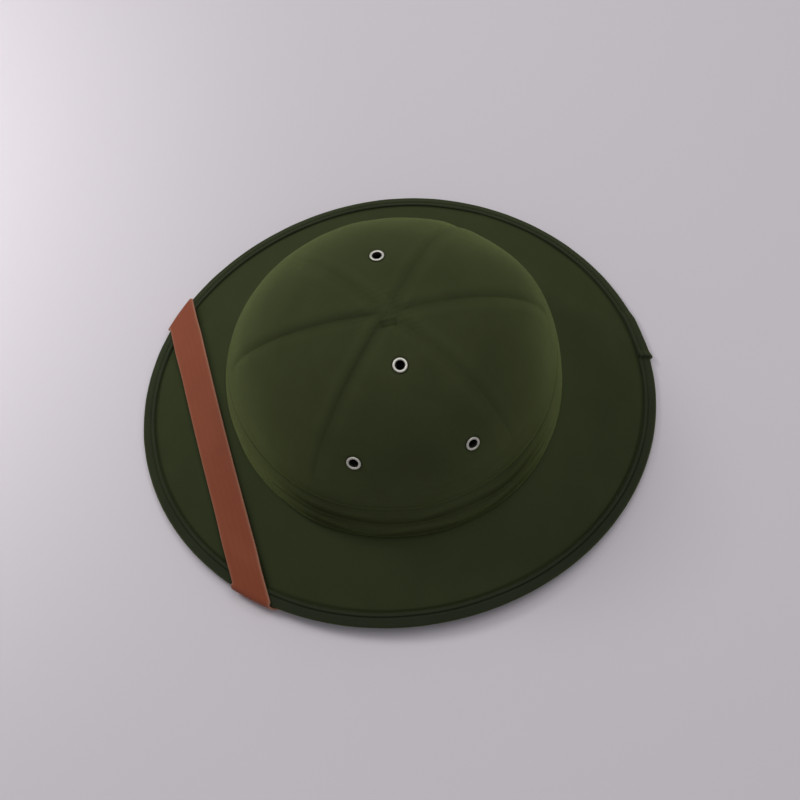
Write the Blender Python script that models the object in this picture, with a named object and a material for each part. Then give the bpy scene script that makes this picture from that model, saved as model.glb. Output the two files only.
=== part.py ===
"""A pith helmet: a pressed fibre shell covered with cloth gores, with a pleated band,
a bound rim, ventilation eyelets and a leather strap folded up over the front brim.

The wearer faces -Y, the wearer's left is +X and up is +Z. The origin is on the floor,
in the middle of the rim. An angle round the helmet is counted from the front, towards
the wearer's left.
"""
import math

import bmesh
import bpy
from mathutils import Matrix, Vector

MM = 0.001

# Crown, measured on its cloth
CROWN_HALF_LENGTH = 101.9 * MM
CROWN_HALF_WIDTH = 98.0 * MM
CROWN_TOP = 134.4 * MM
CROWN_FOOT = 31.0 * MM
CROWN_ROUNDNESS = 2.69
CROWN_SHOULDER = 1.89
CROWN_FORWARD_SET = 0.9 * MM

# Brim and rim
RIM_HALF_LENGTH = 165.0 * MM
RIM_HALF_WIDTH = 148.8 * MM
RIM_SIDE_RISE = 7.2 * MM
RIM_REST_ANGLE = 8.0
# The rim is a little flattened on the right of the front
RIM_FLAT_DEPTH = 1.8 * MM
RIM_FLAT_ANGLE = -66.0
RIM_FLAT_HALF_ANGLE = 44.0
BRIM_BOW = 0.9 * MM

# Walls
SHELL_CROWN_WALL = 2.2 * MM
SHELL_BRIM_WALL = 1.7 * MM
CLOTH = 1.0 * MM
BINDING_TAPE = 0.9 * MM
GAP = 0.4 * MM
# How far the shell's edge stops short of the middle of the rounded rim
SHELL_EDGE_SET = 0.57 * MM

# Rim binding
BINDING_WIDTH = 9.0 * MM
REST_FACET_HALF_ANGLE = 20.0
# Columns: turn round the rim, share of the lap's step
BINDING_OUTSIDE = (
    (30.0, 1.0),
    (0.0, 1.0),
    (-40.0, 0.5),
)
BINDING_INSIDE_TURNS = (-60.0, 0.0)
LAP_STEP = 0.9 * MM
LAP_START_ANGLE = -167.0
LAP_END_ANGLE = 178.6
# Angles over which the lap rises at its start and drops at its cut end
LAP_RAMP_ANGLE = 3.0
LAP_CUT_ANGLE = 0.25

# Gores: the seams meet a little off the top, and each drifts towards its foot
SEAM_CENTRE_X = 4.0 * MM
SEAM_CENTRE_Y = -2.0 * MM
GORE_TIP_RADIUS = 1.3 * MM
SEAM_DRIFT_POWER = 2.5
SEAM_FADE_POWER = 2.0
# Columns: angle of the seam, drift by its foot
SEAM_ANGLES = (
    (0.0, -7.0),
    (51.5, -1.5),
    (127.5, 0.0),
    (180.0, 5.0),
    (232.5, 0.0),
    (308.5, 1.5),
)
GORES = (
    "crown_panel_front_left",
    "crown_panel_left",
    "crown_panel_rear_left",
    "crown_panel_rear_right",
    "crown_panel_right",
    "crown_panel_front_right",
)

# Pleated band
BAND_HEIGHT = 47.0 * MM
BAND_THIN = 1.0 * MM
PLEAT_DEPTH = 0.9 * MM
# Shares of the band's height where each pleat starts, from the foot, and where the band ends
PLEAT_SHARES = (0.0, 0.40, 0.74, 1.0)

# Eyelets
EYELET_BORE = 5.0 * MM
EYELET_FLANGE = 8.8 * MM
EYELET_BARREL_WALL = 0.5 * MM
EYELET_FLANGE_HEIGHT = 0.9 * MM
EYELET_BACK_FLANGE = 8.0 * MM
EYELET_BACK_HEIGHT = 0.6 * MM
EYELET_BACK_GAP = 0.7 * MM
EYELET_LIP_SHARE = 0.6
EYELET_SIDES = 10
# Columns: name, angle, share of the crown's radius. The lower two on the right lie further
# down than those on the left.
EYELETS = (
    ("left_top", 88.9, 0.363),
    ("left_front", 64.9, 0.820),
    ("left_rear", 112.3, 0.823),
    ("right_top", -89.2, 0.352),
    ("right_front", -64.9, 0.878),
    ("right_rear", -112.3, 0.878),
)

# Chin strap
STRAP_WIDTH = 18.8 * MM
STRAP_THICKNESS = 1.5 * MM
STRAP_FOLD_LEFT_ANGLE = 47.3
STRAP_FOLD_RIGHT_ANGLE = -37.5
# The strap drifts along the rim mostly in the lower part of its fold
STRAP_DRIFT_POWER = 2.5
STRAP_INSET = 2.5 * MM
STRAP_SLACK = 0.3 * MM
# Where the strap starts to rise towards the rim, and over what length, in tape widths
STRAP_RISE_AT_TAPES = 4.0
STRAP_RISE_OVER_TAPES = 2.0
STRAP_STEPS_ABOVE = 16
STRAP_STEPS_FOLD = 9
STRAP_STEPS_BELOW = 12
STRAP_COLUMNS = (-1.0, 0.0, 1.0)
# Columns: distance past the stud and breadth, as shares of the strap's half width
STRAP_END = (
    (0.4, 1.0),
    (0.75, 0.75),
    (0.95, 0.35),
)

# Studs that hold the strap's ends below the brim
STUD_ANGLE = 90.0
STUD_HEAD = 9.0 * MM
STUD_HEAD_HEIGHT = 1.3 * MM
STUD_FACE_SHARE = 0.75
STUD_SHANK = 3.4 * MM
STUD_SIDES = 12

# Facets
RING_STEPS = 56
SHARP_ANGLE = 35.0
# Least share of a facet between a corner of the lap and the next corner
FACET_CLEARANCE = 0.35
# Halvings in a search for a place on the brim, and the shares it starts from
SEARCH_STEPS = 40
SEARCH_FROM = -0.5
SEARCH_TO = 1.5
# How far drills reach either way, in depths of the wall
DRILL_REACH = 2.0
# Shares of the crown's radius where its rings lie, from the top to the foot
CROWN_SHARES = (0.19, 0.38, 0.55, 0.7, 0.81, 0.89, 0.95, 0.985, 1.0)
# Shares of the brim's width where its rings lie
BRIM_SHARES = (0.5,)

# Sizes that follow from those above
SHELL_DEPTH = CLOTH + GAP
SHELL_INNER_DEPTH = SHELL_DEPTH + SHELL_CROWN_WALL
BRIM_STACK = SHELL_BRIM_WALL + GAP + CLOTH
BINDING_RADIUS = BRIM_STACK / 2 + GAP + BINDING_TAPE
COVER_TOP = BRIM_STACK / 2
COVER_BOTTOM = COVER_TOP - CLOTH
SHELL_BRIM_TOP = COVER_BOTTOM - GAP
SHELL_BRIM_BOTTOM = -BRIM_STACK / 2
ORIGIN_SHIFT = Vector((0.0, -LAP_STEP / 2, 0.0))


def smooth(value):
    """A step from 0 to 1 with level ends."""
    share = min(1.0, max(0.0, value))
    return share * share * (3.0 - 2.0 * share)


def material(name, colour, roughness, metallic=0.0):
    """A Principled material of one colour."""
    made = bpy.data.materials.new(name)
    made.use_nodes = True
    shader = made.node_tree.nodes["Principled BSDF"]
    shader.inputs["Base Color"].default_value = (*colour, 1.0)
    shader.inputs["Roughness"].default_value = roughness
    shader.inputs["Metallic"].default_value = metallic
    made.diffuse_color = (*colour, 1.0)
    return made


def new_object(name, vertices, faces, look):
    """One closed mesh object, set on the helmet's origin."""
    mesh = bpy.data.meshes.new(name)
    mesh.from_pydata([tuple(point + ORIGIN_SHIFT) for point in vertices], [], faces)
    mesh.validate()
    edit = bmesh.new()
    edit.from_mesh(mesh)
    bmesh.ops.recalc_face_normals(edit, faces=edit.faces)
    edit.to_mesh(mesh)
    edit.free()
    mesh.materials.append(look)
    mesh.shade_smooth()
    mesh.set_sharp_from_angle(angle=math.radians(SHARP_ANGLE))
    made = bpy.data.objects.new(name, mesh)
    bpy.context.scene.collection.objects.link(made)
    return made


def closed_rings(rings):
    """Vertices and faces of a body whose closed rings follow each other round its section."""
    count = len(rings[0])
    vertices = [point for ring in rings for point in ring]
    faces = []
    for row in range(len(rings)):
        after = (row + 1) % len(rings)
        for step in range(count):
            beside = (step + 1) % count
            faces.append((row * count + step, row * count + beside,
                          after * count + beside, after * count + step))
    return vertices, faces


def ring_angles(extra=()):
    """The angles of the facets' corners round the helmet, in degrees."""
    angles = [-180.0 + 360.0 * step / RING_STEPS for step in range(RING_STEPS)]
    spacing = 360.0 / RING_STEPS
    kept = [angle for angle in angles
            if all(abs(angle - other) > FACET_CLEARANCE * spacing for other in extra)]
    return sorted(kept + list(extra))


def crown_surface(angle, share, depth=0.0):
    """A point of the crown at a share of its radius, at a depth below its cloth."""
    def height(value):
        rise = max(0.0, 1.0 - value ** CROWN_ROUNDNESS) ** (1.0 / CROWN_SHOULDER)
        return CROWN_FOOT + (CROWN_TOP - CROWN_FOOT) * rise

    turn = math.radians(angle)
    x = CROWN_HALF_WIDTH * share * math.sin(turn)
    y = -CROWN_HALF_LENGTH * share * math.cos(turn)
    point = Vector((x, y - CROWN_FORWARD_SET, height(share)))
    if depth == 0.0:
        return point
    return point - crown_normal(angle, share) * depth


def crown_normal(angle, share):
    """The direction straight out of the crown."""
    turn = math.radians(angle)
    outward = Vector((math.sin(turn) / CROWN_HALF_WIDTH, -math.cos(turn) / CROWN_HALF_LENGTH, 0.0))
    if share >= 1.0:
        return outward.normalized()
    inside = 1.0 - share ** CROWN_ROUNDNESS
    fall = (share ** (CROWN_ROUNDNESS - 1.0) * inside ** (1.0 / CROWN_SHOULDER - 1.0)
            * CROWN_ROUNDNESS / CROWN_SHOULDER * (CROWN_TOP - CROWN_FOOT))
    return Vector((outward.x * fall, outward.y * fall, 1.0)).normalized()


def share_at_height(height):
    """The share of the crown's radius that lies at a height."""
    rise = (height - CROWN_FOOT) / (CROWN_TOP - CROWN_FOOT)
    return (1.0 - rise ** CROWN_SHOULDER) ** (1.0 / CROWN_ROUNDNESS)


def rim_rise(angle):
    """How much higher the rim is than at the front and rear, where it rests."""
    rest = math.sin(math.radians(RIM_REST_ANGLE)) ** 2
    side = math.sin(math.radians(angle)) ** 2
    return RIM_SIDE_RISE * max(0.0, side - rest) / (1.0 - rest)


def brim_inner(angle):
    """Where the brim's middle layer meets the crown's wall."""
    return crown_surface(angle, 1.0) - Vector((0.0, 0.0, COVER_TOP))


def rim_fullness(angle):
    """The share of the full oval that the rim keeps, less than 1 where it is flattened."""
    apart = abs((angle - RIM_FLAT_ANGLE + 180.0) % 360.0 - 180.0)
    reach = min(1.0, apart / RIM_FLAT_HALF_ANGLE)
    return 1.0 - RIM_FLAT_DEPTH / RIM_HALF_WIDTH * math.cos(math.pi / 2 * reach) ** 2


def brim_outer(angle):
    """The middle of the rounded rim."""
    turn = math.radians(angle)
    full = rim_fullness(angle)
    x = (RIM_HALF_WIDTH - BINDING_RADIUS) * full * math.sin(turn)
    y = -(RIM_HALF_LENGTH - BINDING_RADIUS) * full * math.cos(turn)
    height = BINDING_RADIUS * math.cos(math.radians(REST_FACET_HALF_ANGLE)) + rim_rise(angle)
    return Vector((x, y, height))


def brim_frame(angle, share):
    """A point of the brim's middle layer, the way out along it, and the way up from it."""
    inner = brim_inner(angle)
    outer = brim_outer(angle)
    along = outer - inner
    bow = Vector((0.0, 0.0, BRIM_BOW))
    point = inner + along * share + bow * 4.0 * share * (1.0 - share)
    out = (along + bow * 4.0 * (1.0 - 2.0 * share)).normalized()
    level = Vector((along.x, along.y, 0.0)).normalized()
    up = (Vector((0.0, 0.0, 1.0)) * out.dot(level) - level * out.z).normalized()
    return point, out, up


def brim_surface(angle, share, lift):
    """A point above or below the brim's middle layer."""
    point, _, up = brim_frame(angle, share)
    return point + up * lift


def brim_share_at(angle, distance):
    """The share of the brim at a level distance out from the crown's wall."""
    inner = brim_inner(angle)
    along = brim_outer(angle) - inner
    return distance / Vector((along.x, along.y)).length


def rim_turn(angle, radius, turn, share=1.0):
    """A point round the rounded rim: turn is 0 outwards, 90 upwards and -90 downwards."""
    point, _, _ = brim_frame(angle, share)
    level = brim_outer(angle) - brim_inner(angle)
    level.z = 0.0
    level.normalize()
    bend = math.radians(turn)
    return point + level * radius * math.cos(bend) + Vector((0.0, 0.0, radius * math.sin(bend)))


def brim_slope(angle):
    """The brim's fall at the rim, in degrees."""
    _, out, _ = brim_frame(angle, 1.0)
    return math.degrees(math.asin(-out.z))


def fibre_shell(look):
    """The pressed body: outer rings from the top to the rim, and inner rings back."""
    angles = ring_angles()
    rings = [[crown_surface(angle, share, SHELL_DEPTH) for angle in angles]
             for share in CROWN_SHARES[:-1]]

    def corner(depth, lift):
        ring = []
        for angle in angles:
            reach = brim_share_at(angle, -depth)
            base = brim_surface(angle, reach, lift)
            wall = crown_surface(angle, 1.0, depth)
            ring.append(Vector((wall.x, wall.y, base.z)))
        return ring

    edge = 1.0 - SHELL_EDGE_SET / (RIM_HALF_LENGTH - CROWN_HALF_LENGTH)
    rings.append(corner(SHELL_DEPTH, SHELL_BRIM_TOP))
    for share in (*BRIM_SHARES, edge):
        rings.append([brim_surface(angle, share, SHELL_BRIM_TOP) for angle in angles])
    for share in (edge, *reversed(BRIM_SHARES)):
        rings.append([brim_surface(angle, share, SHELL_BRIM_BOTTOM) for angle in angles])
    rings.append(corner(SHELL_INNER_DEPTH, SHELL_BRIM_BOTTOM))
    for share in reversed(CROWN_SHARES[:-1]):
        rings.append([crown_surface(angle, share, SHELL_INNER_DEPTH) for angle in angles])

    vertices, faces = closed_rings(rings)
    count = len(angles)
    faces = faces[:-count]
    for first, depth in ((0, SHELL_DEPTH), ((len(rings) - 1) * count, SHELL_INNER_DEPTH)):
        vertices.append(Vector((0.0, -CROWN_FORWARD_SET, CROWN_TOP - depth)))
        pole = len(vertices) - 1
        for step in range(count):
            faces.append((pole, first + step, first + (step + 1) % count))
    return new_object("fibre_shell", vertices, faces, look)


def seam_angle(index, share):
    """The angle of a seam at a share of the crown's radius."""
    angle, drift = SEAM_ANGLES[index % len(SEAM_ANGLES)]
    whole_turns = 360.0 * (index // len(SEAM_ANGLES))
    return angle + whole_turns + drift * share ** SEAM_DRIFT_POWER


def gore_point(index, across, share, depth):
    """A point of a gore: across runs from 0 at its first seam to 1 at its second."""
    first = seam_angle(index, share)
    second = seam_angle(index + 1, share)
    angle = first + (second - first) * across
    turn = math.radians(angle)
    fade = (1.0 - share) ** SEAM_FADE_POWER
    x = CROWN_HALF_WIDTH * share * math.sin(turn) + SEAM_CENTRE_X * fade
    y = -CROWN_HALF_LENGTH * share * math.cos(turn) + SEAM_CENTRE_Y * fade
    spread = math.hypot(x / CROWN_HALF_WIDTH, y / CROWN_HALF_LENGTH)
    bearing = math.degrees(math.atan2(x / CROWN_HALF_WIDTH, -y / CROWN_HALF_LENGTH))
    return crown_surface(bearing, min(1.0, spread), depth)


def crown_gore(index, look):
    """One cloth gore, a little short of its seams and of the brim's cover."""
    tip = GORE_TIP_RADIUS / CROWN_HALF_WIDTH
    foot = share_at_height(CROWN_FOOT + COVER_TOP)
    shares = [tip, *CROWN_SHARES[:-1], foot]
    steps = round((seam_angle(index + 1, 1.0) - seam_angle(index, 1.0)) * RING_STEPS / 360.0)
    rows = []
    for share in shares:
        width = math.radians(seam_angle(index + 1, share) - seam_angle(index, share))
        inset = GAP / 2 / (width * share * CROWN_HALF_WIDTH)
        rows.append([inset + (1.0 - 2.0 * inset) * step / steps for step in range(steps + 1)])
    vertices = []
    for depth in (0.0, CLOTH):
        for share, row in zip(shares, rows):
            vertices.extend(gore_point(index, across, share, depth) for across in row)
    columns = steps + 1
    layer = columns * len(shares)
    faces = []
    for row in range(len(shares) - 1):
        for step in range(steps):
            corner = row * columns + step
            quad = (corner, corner + 1, corner + 1 + columns, corner + columns)
            faces.append(quad)
            faces.append(tuple(layer + place for place in reversed(quad)))
    border = list(range(steps))
    border += [row * columns + steps for row in range(len(shares) - 1)]
    border += [(len(shares) - 1) * columns + step for step in range(steps, 0, -1)]
    border += [row * columns for row in range(len(shares) - 1, 0, -1)]
    for here, after in zip(border, border[1:] + border[:1]):
        faces.append((here, layer + here, layer + after, after))
    return new_object(GORES[index], vertices, faces, look)


def brim_cover(look):
    """The cloth over the brim, from the shell's wall to inside the rim binding."""
    angles = ring_angles()
    rings = []
    for lift, order in ((COVER_TOP, 1), (COVER_BOTTOM, -1)):
        inner = [brim_surface(angle, brim_share_at(angle, GAP - SHELL_DEPTH), lift)
                 for angle in angles]
        middle = [[brim_surface(angle, share, lift) for angle in angles]
                  for share in (*BRIM_SHARES, 1.0)]
        rings.extend([inner, *middle][::order])
    vertices, faces = closed_rings(rings)
    return new_object("brim_cover", vertices, faces, look)


def crown_band(look):
    """The pleated band: each pleat thickens towards its lower edge and overhangs the next."""
    angles = ring_angles()
    thin = GAP + BAND_THIN
    thick = thin + PLEAT_DEPTH
    top = share_at_height(CROWN_FOOT + BAND_HEIGHT)

    def ring(share, lift):
        return [crown_surface(angle, share, -lift) for angle in angles]

    def foot(lift):
        made = ring(1.0, lift)
        for angle, point in zip(angles, made):
            point.z = GAP + brim_surface(angle, brim_share_at(angle, lift), COVER_TOP).z
        return made

    rings = [foot(thick)]
    for level in PLEAT_SHARES[1:-1]:
        share = share_at_height(CROWN_FOOT + BAND_HEIGHT * level)
        rings.append(ring(share, thin))
        rings.append(ring(share, thick))
    rings.append(ring(top, thin))
    rings.append(ring(top, GAP))
    for share in CROWN_SHARES:
        if top < share < 1.0:
            rings.append(ring(share, GAP))
    rings.append(foot(GAP))
    vertices, faces = closed_rings(rings)
    return new_object("crown_band", vertices, faces, look)


def lap_amount(angle):
    """How far the tape's lapped end lies over the tape below it, from 0 to 1."""
    covered = (LAP_START_ANGLE - LAP_END_ANGLE) % 360.0
    behind = (LAP_START_ANGLE - angle) % 360.0
    return smooth(behind / LAP_RAMP_ANGLE) if behind <= covered + LAP_CUT_ANGLE / 2 else 0.0


def rim_binding(look):
    """The folded tape: a U-shaped section whose lowest facet is level, with a lapped end."""
    angles = ring_angles((LAP_START_ANGLE, LAP_END_ANGLE, LAP_END_ANGLE - LAP_CUT_ANGLE))
    outer = BINDING_RADIUS
    inner = BINDING_RADIUS - BINDING_TAPE
    reach = BINDING_WIDTH - BINDING_RADIUS

    def ring(radius, turn, back=0.0, tilted=False, lapped=0.0):
        made = []
        for angle in angles:
            level = turn - brim_slope(angle) if tilted else turn
            grown = radius + LAP_STEP * lapped * lap_amount(angle)
            made.append(rim_turn(angle, grown, level, 1.0 - brim_share_at(angle, back)))
        return made

    rings = [
        ring(outer, 90.0, reach, tilted=True, lapped=1.0),
        ring(outer, 90.0, tilted=True, lapped=1.0),
        *(ring(outer, turn, lapped=lapped) for turn, lapped in BINDING_OUTSIDE),
        ring(outer, -90.0 + REST_FACET_HALF_ANGLE),
        ring(outer, -90.0 - REST_FACET_HALF_ANGLE),
        ring(outer, -90.0, reach, tilted=True),
        ring(inner, -90.0, reach, tilted=True),
        ring(inner, -90.0, tilted=True),
        *(ring(inner, turn) for turn in BINDING_INSIDE_TURNS),
        ring(inner, 90.0, tilted=True),
        ring(inner, 90.0, reach, tilted=True),
    ]
    vertices, faces = closed_rings(rings)
    return new_object("rim_binding", vertices, faces, look)


def turned(name, profile, sides, place, axis, look, bored):
    """A turned solid, round a bore or with flat ends: profile holds radius and height."""
    frame = axis.to_track_quat("Z", "Y").to_matrix()
    turns = [2.0 * math.pi * step / sides for step in range(sides)]
    rings = [[place + frame @ Vector((radius * math.cos(turn), radius * math.sin(turn), height))
              for turn in turns] for radius, height in profile]
    vertices, faces = closed_rings(rings)
    if not bored:
        last = len(vertices) - sides
        ends = [tuple(range(sides)), tuple(range(last, len(vertices)))]
        faces = faces[:-sides] + ends
    return new_object(name, vertices, faces, look)


def drill(target, place, axis, radius, sides, depth):
    """Cut a round hole through a wall, along an axis."""
    bpy.ops.mesh.primitive_cylinder_add(vertices=sides, radius=radius, depth=depth)
    cutter = bpy.context.active_object
    cutter.name = "cutter_" + target.name
    turn = axis.to_track_quat("Z", "Y").to_matrix().to_4x4()
    cutter.matrix_world = Matrix.Translation(place + ORIGIN_SHIFT) @ turn
    cutter.hide_render = True
    cutter.display_type = "WIRE"
    cut = target.modifiers.new("hole", "BOOLEAN")
    cut.operation = "DIFFERENCE"
    cut.solver = "EXACT"
    cut.object = cutter


def eyelet(name, angle, share, shell, gore, look):
    """A metal eyelet, with its hole through the gore and the shell."""
    bore = EYELET_BORE / 2
    barrel = bore + EYELET_BARREL_WALL
    back = SHELL_INNER_DEPTH + EYELET_BACK_GAP
    front = GAP
    profile = (
        (bore, -back - EYELET_BACK_HEIGHT),
        (EYELET_BACK_FLANGE / 2, -back - EYELET_BACK_HEIGHT),
        (EYELET_BACK_FLANGE / 2, -back),
        (barrel, -back),
        (barrel, front),
        (EYELET_FLANGE / 2, front),
        ((EYELET_FLANGE / 2 + bore) / 2, front + EYELET_FLANGE_HEIGHT),
        (bore, front + EYELET_LIP_SHARE * EYELET_FLANGE_HEIGHT),
    )
    place = crown_surface(angle, share)
    axis = crown_normal(angle, share)
    turned(name, profile, EYELET_SIDES, place, axis, look, True)
    depth = 2.0 * DRILL_REACH * SHELL_INNER_DEPTH
    for wall in (shell, gore):
        drill(wall, place, axis, barrel + GAP, EYELET_SIDES, depth)


def brim_place(x, y):
    """The angle and the share of the brim below a point of the plan."""
    low, high = SEARCH_FROM, SEARCH_TO
    full = rim_fullness(math.degrees(math.atan2(x / RIM_HALF_WIDTH, -y / RIM_HALF_LENGTH)))
    for _ in range(SEARCH_STEPS):
        share = (low + high) / 2
        half_width = (CROWN_HALF_WIDTH * (1.0 - share)
                      + (RIM_HALF_WIDTH - BINDING_RADIUS) * full * share)
        half_length = (CROWN_HALF_LENGTH * (1.0 - share)
                       + (RIM_HALF_LENGTH - BINDING_RADIUS) * full * share)
        shift = -CROWN_FORWARD_SET * (1.0 - share)
        inside = math.hypot(x / half_width, (y - shift) / half_length) < 1.0
        low, high = (low, share) if inside else (share, high)
    angle = math.degrees(math.atan2(x / half_width, -(y - shift) / half_length))
    return angle, share


def rim_pace(angle):
    """Length along the rim for each degree of angle."""
    turn = math.radians(angle)
    x = (RIM_HALF_WIDTH - BINDING_RADIUS) * math.cos(turn)
    y = (RIM_HALF_LENGTH - BINDING_RADIUS) * math.sin(turn)
    return math.radians(math.hypot(x, y)) * rim_fullness(angle)


def plan(point):
    """A point's place in the plan."""
    return Vector((point.x, point.y))


def strap_seat(share, flat):
    """How far the strap's inner face lies from the brim's middle layer, clear of the binding."""
    binding = brim_share_at(0.0, BINDING_WIDTH - BINDING_RADIUS)
    over = smooth(((share - 1.0) / binding + STRAP_RISE_AT_TAPES) / STRAP_RISE_OVER_TAPES)
    return GAP + flat + (BINDING_RADIUS - flat) * over


def strap_pair(spot, above):
    """The strap's inner and outer points at a place of the plan, above or below the brim."""
    angle, share = brim_place(spot.x, spot.y)
    seat = strap_seat(share, COVER_TOP if above else STRAP_SLACK - SHELL_BRIM_BOTTOM)
    way = 1.0 if above else -1.0
    return (brim_surface(angle, share, way * seat),
            brim_surface(angle, share, way * (seat + STRAP_THICKNESS)))


def stud_place(side):
    """The angle and the share of the brim where a stud holds the strap."""
    angle = side * STUD_ANGLE
    return angle, brim_share_at(angle, STRAP_WIDTH / 2 + STRAP_INSET)


class StrapEnd:
    """One end of the strap, where it folds round the rim and runs back to its stud."""

    def __init__(self, side, fold_angle, across):
        self.side = side
        self.fold_angle = fold_angle
        tangent = (plan(brim_outer(fold_angle + 1.0))
                   - plan(brim_outer(fold_angle - 1.0))).normalized()
        self.lean = math.acos(abs(tangent.dot(across)))
        self.half = STRAP_WIDTH / 2 / math.sin(self.lean) / rim_pace(fold_angle)

    def rim_angle(self, turn_share, width):
        """The angle of the rim below the strap: width runs from -1 to 1 across the strap."""
        middle = BINDING_RADIUS + GAP + STRAP_THICKNESS / 2
        drift = turn_share ** STRAP_DRIFT_POWER
        advance = math.pi * middle * drift / math.tan(self.lean) / rim_pace(self.fold_angle)
        return self.fold_angle + self.side * (advance + self.half * width)

    def start_above(self, width):
        """The place of the plan where the strap's upper run meets the rim."""
        return plan(brim_outer(self.rim_angle(0.0, width)))

    def fold(self):
        """The stations round the rim, from above it to below it."""
        rows = []
        for step in range(STRAP_STEPS_FOLD + 1):
            share = step / STRAP_STEPS_FOLD
            row = []
            for width in STRAP_COLUMNS:
                angle = self.rim_angle(share, width)
                turn = 90.0 - brim_slope(angle) - 180.0 * share
                row.append((rim_turn(angle, BINDING_RADIUS + GAP, turn),
                            rim_turn(angle, BINDING_RADIUS + GAP + STRAP_THICKNESS, turn)))
            rows.append(row)
        return rows

    def run_below(self):
        """The hidden stretch, straight back under the brim to the stud, with a round end."""
        angle, share = stud_place(self.side)
        stud = plan(brim_surface(angle, share, 0.0))
        heading = (stud - plan(brim_outer(self.rim_angle(1.0, 0.0)))).normalized()
        sideways = Vector((heading.y, -heading.x)) * self.side * STRAP_WIDTH / 2
        rows = []
        for step in range(1, STRAP_STEPS_BELOW + 1):
            along = step / STRAP_STEPS_BELOW
            row = []
            for width in STRAP_COLUMNS:
                start = plan(brim_outer(self.rim_angle(1.0, width)))
                row.append(strap_pair(start.lerp(stud + sideways * width, along), False))
            rows.append(row)
        for reach, breadth in STRAP_END:
            spot = stud + heading * (STRAP_WIDTH / 2 * reach)
            rows.append([strap_pair(spot + sideways * (width * breadth), False)
                         for width in STRAP_COLUMNS])
        return rows


def chin_strap(look):
    """The strap: over the front brim, round the rim at both sides, and back to its studs."""
    left_rim = plan(brim_outer(STRAP_FOLD_LEFT_ANGLE))
    right_rim = plan(brim_outer(STRAP_FOLD_RIGHT_ANGLE))
    across = (left_rim - right_rim).normalized()
    left = StrapEnd(1.0, STRAP_FOLD_LEFT_ANGLE, across)
    right = StrapEnd(-1.0, STRAP_FOLD_RIGHT_ANGLE, across)
    rows = [*reversed(right.run_below()), *reversed(right.fold())]
    for step in range(1, STRAP_STEPS_ABOVE):
        along = step / STRAP_STEPS_ABOVE
        rows.append([strap_pair(right.start_above(width).lerp(left.start_above(width), along),
                                True) for width in STRAP_COLUMNS])
    rows.extend([*left.fold(), *left.run_below()])

    vertices = []
    for row in rows:
        vertices.extend(pair[0] for pair in row)
        vertices.extend(pair[1] for pair in reversed(row))
    ring = 2 * len(STRAP_COLUMNS)
    faces = []
    for place in range(0, (len(rows) - 1) * ring, ring):
        for step in range(ring):
            beside = (step + 1) % ring
            faces.append((place + step, place + beside,
                          place + ring + beside, place + ring + step))
    for first in (0, (len(rows) - 1) * ring):
        for step in range(len(STRAP_COLUMNS) - 1):
            faces.append((first + step, first + step + 1,
                          first + ring - 2 - step, first + ring - 1 - step))
    return new_object("chin_strap", vertices, faces, look)


def strap_stud(name, side, walls, look):
    """A plain stud below the brim, through the strap's end and into the shell."""
    angle, share = stud_place(side)
    place = brim_surface(angle, share, SHELL_BRIM_BOTTOM)
    _, _, axis = brim_frame(angle, share)
    head = -(2 * GAP + STRAP_SLACK + STRAP_THICKNESS)
    shank = STUD_SHANK / 2
    rim = STUD_HEAD / 2
    profile = (
        (rim * STUD_FACE_SHARE, head - STUD_HEAD_HEIGHT),
        (rim, head - STUD_HEAD_HEIGHT / 2),
        (rim, head),
        (shank, head),
        (shank, SHELL_BRIM_WALL - GAP),
    )
    turned(name, profile, STUD_SIDES, place, axis, look, False)
    depth = 2.0 * (max(-head, SHELL_BRIM_WALL) + GAP)
    for wall in walls:
        drill(wall, place, axis, shank + GAP, STUD_SIDES, depth)


def build():
    """Make every piece of the helmet."""
    for old in list(bpy.data.objects):
        bpy.data.objects.remove(old, do_unlink=True)
    fibre = material("pressed fibre", (0.05, 0.06, 0.03), 0.8)
    cloth = material("crown cloth", (0.033, 0.047, 0.016), 0.75)
    brim_cloth = material("brim cloth", (0.022, 0.036, 0.013), 0.8)
    tape = material("binding tape", (0.018, 0.028, 0.013), 0.8)
    metal = material("eyelet metal", (0.7, 0.68, 0.6), 0.3, 1.0)
    leather = material("strap leather", (0.2, 0.06, 0.035), 0.5)
    brass = material("stud metal", (0.6, 0.55, 0.45), 0.35, 1.0)

    shell = fibre_shell(fibre)
    gores = [crown_gore(index, cloth) for index in range(len(GORES))]
    brim_cover(brim_cloth)
    crown_band(cloth)
    rim_binding(tape)
    strap = chin_strap(leather)
    left_gore, right_gore = gores[1], gores[4]
    for name, angle, share in EYELETS:
        gore = left_gore if angle > 0 else right_gore
        eyelet(f"eyelet_{name}", angle, share, shell, gore, metal)
    for side_name, side in (("left", 1.0), ("right", -1.0)):
        strap_stud(f"strap_stud_{side_name}", side, (shell, strap), brass)


build()
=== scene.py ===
"""A green pith helmet that lies on a pale floor, seen from above its left side.

The wearer faces -Y, the wearer's left is +X and up is +Z. An angle round the helmet is
counted from the front, towards the wearer's left, in degrees. A share of the crown's
radius runs from 0 at the top to 1 at the foot, and a share of the brim's width from 0 at
the crown to 1 at the middle of the rounded rim. All lengths are in metres.
"""
import logging
import math
from collections.abc import Mapping, Sequence
from dataclasses import dataclass
from enum import Enum

import bpy
import numpy as np
from mathutils import Matrix, Vector
from numpy.typing import NDArray


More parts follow.
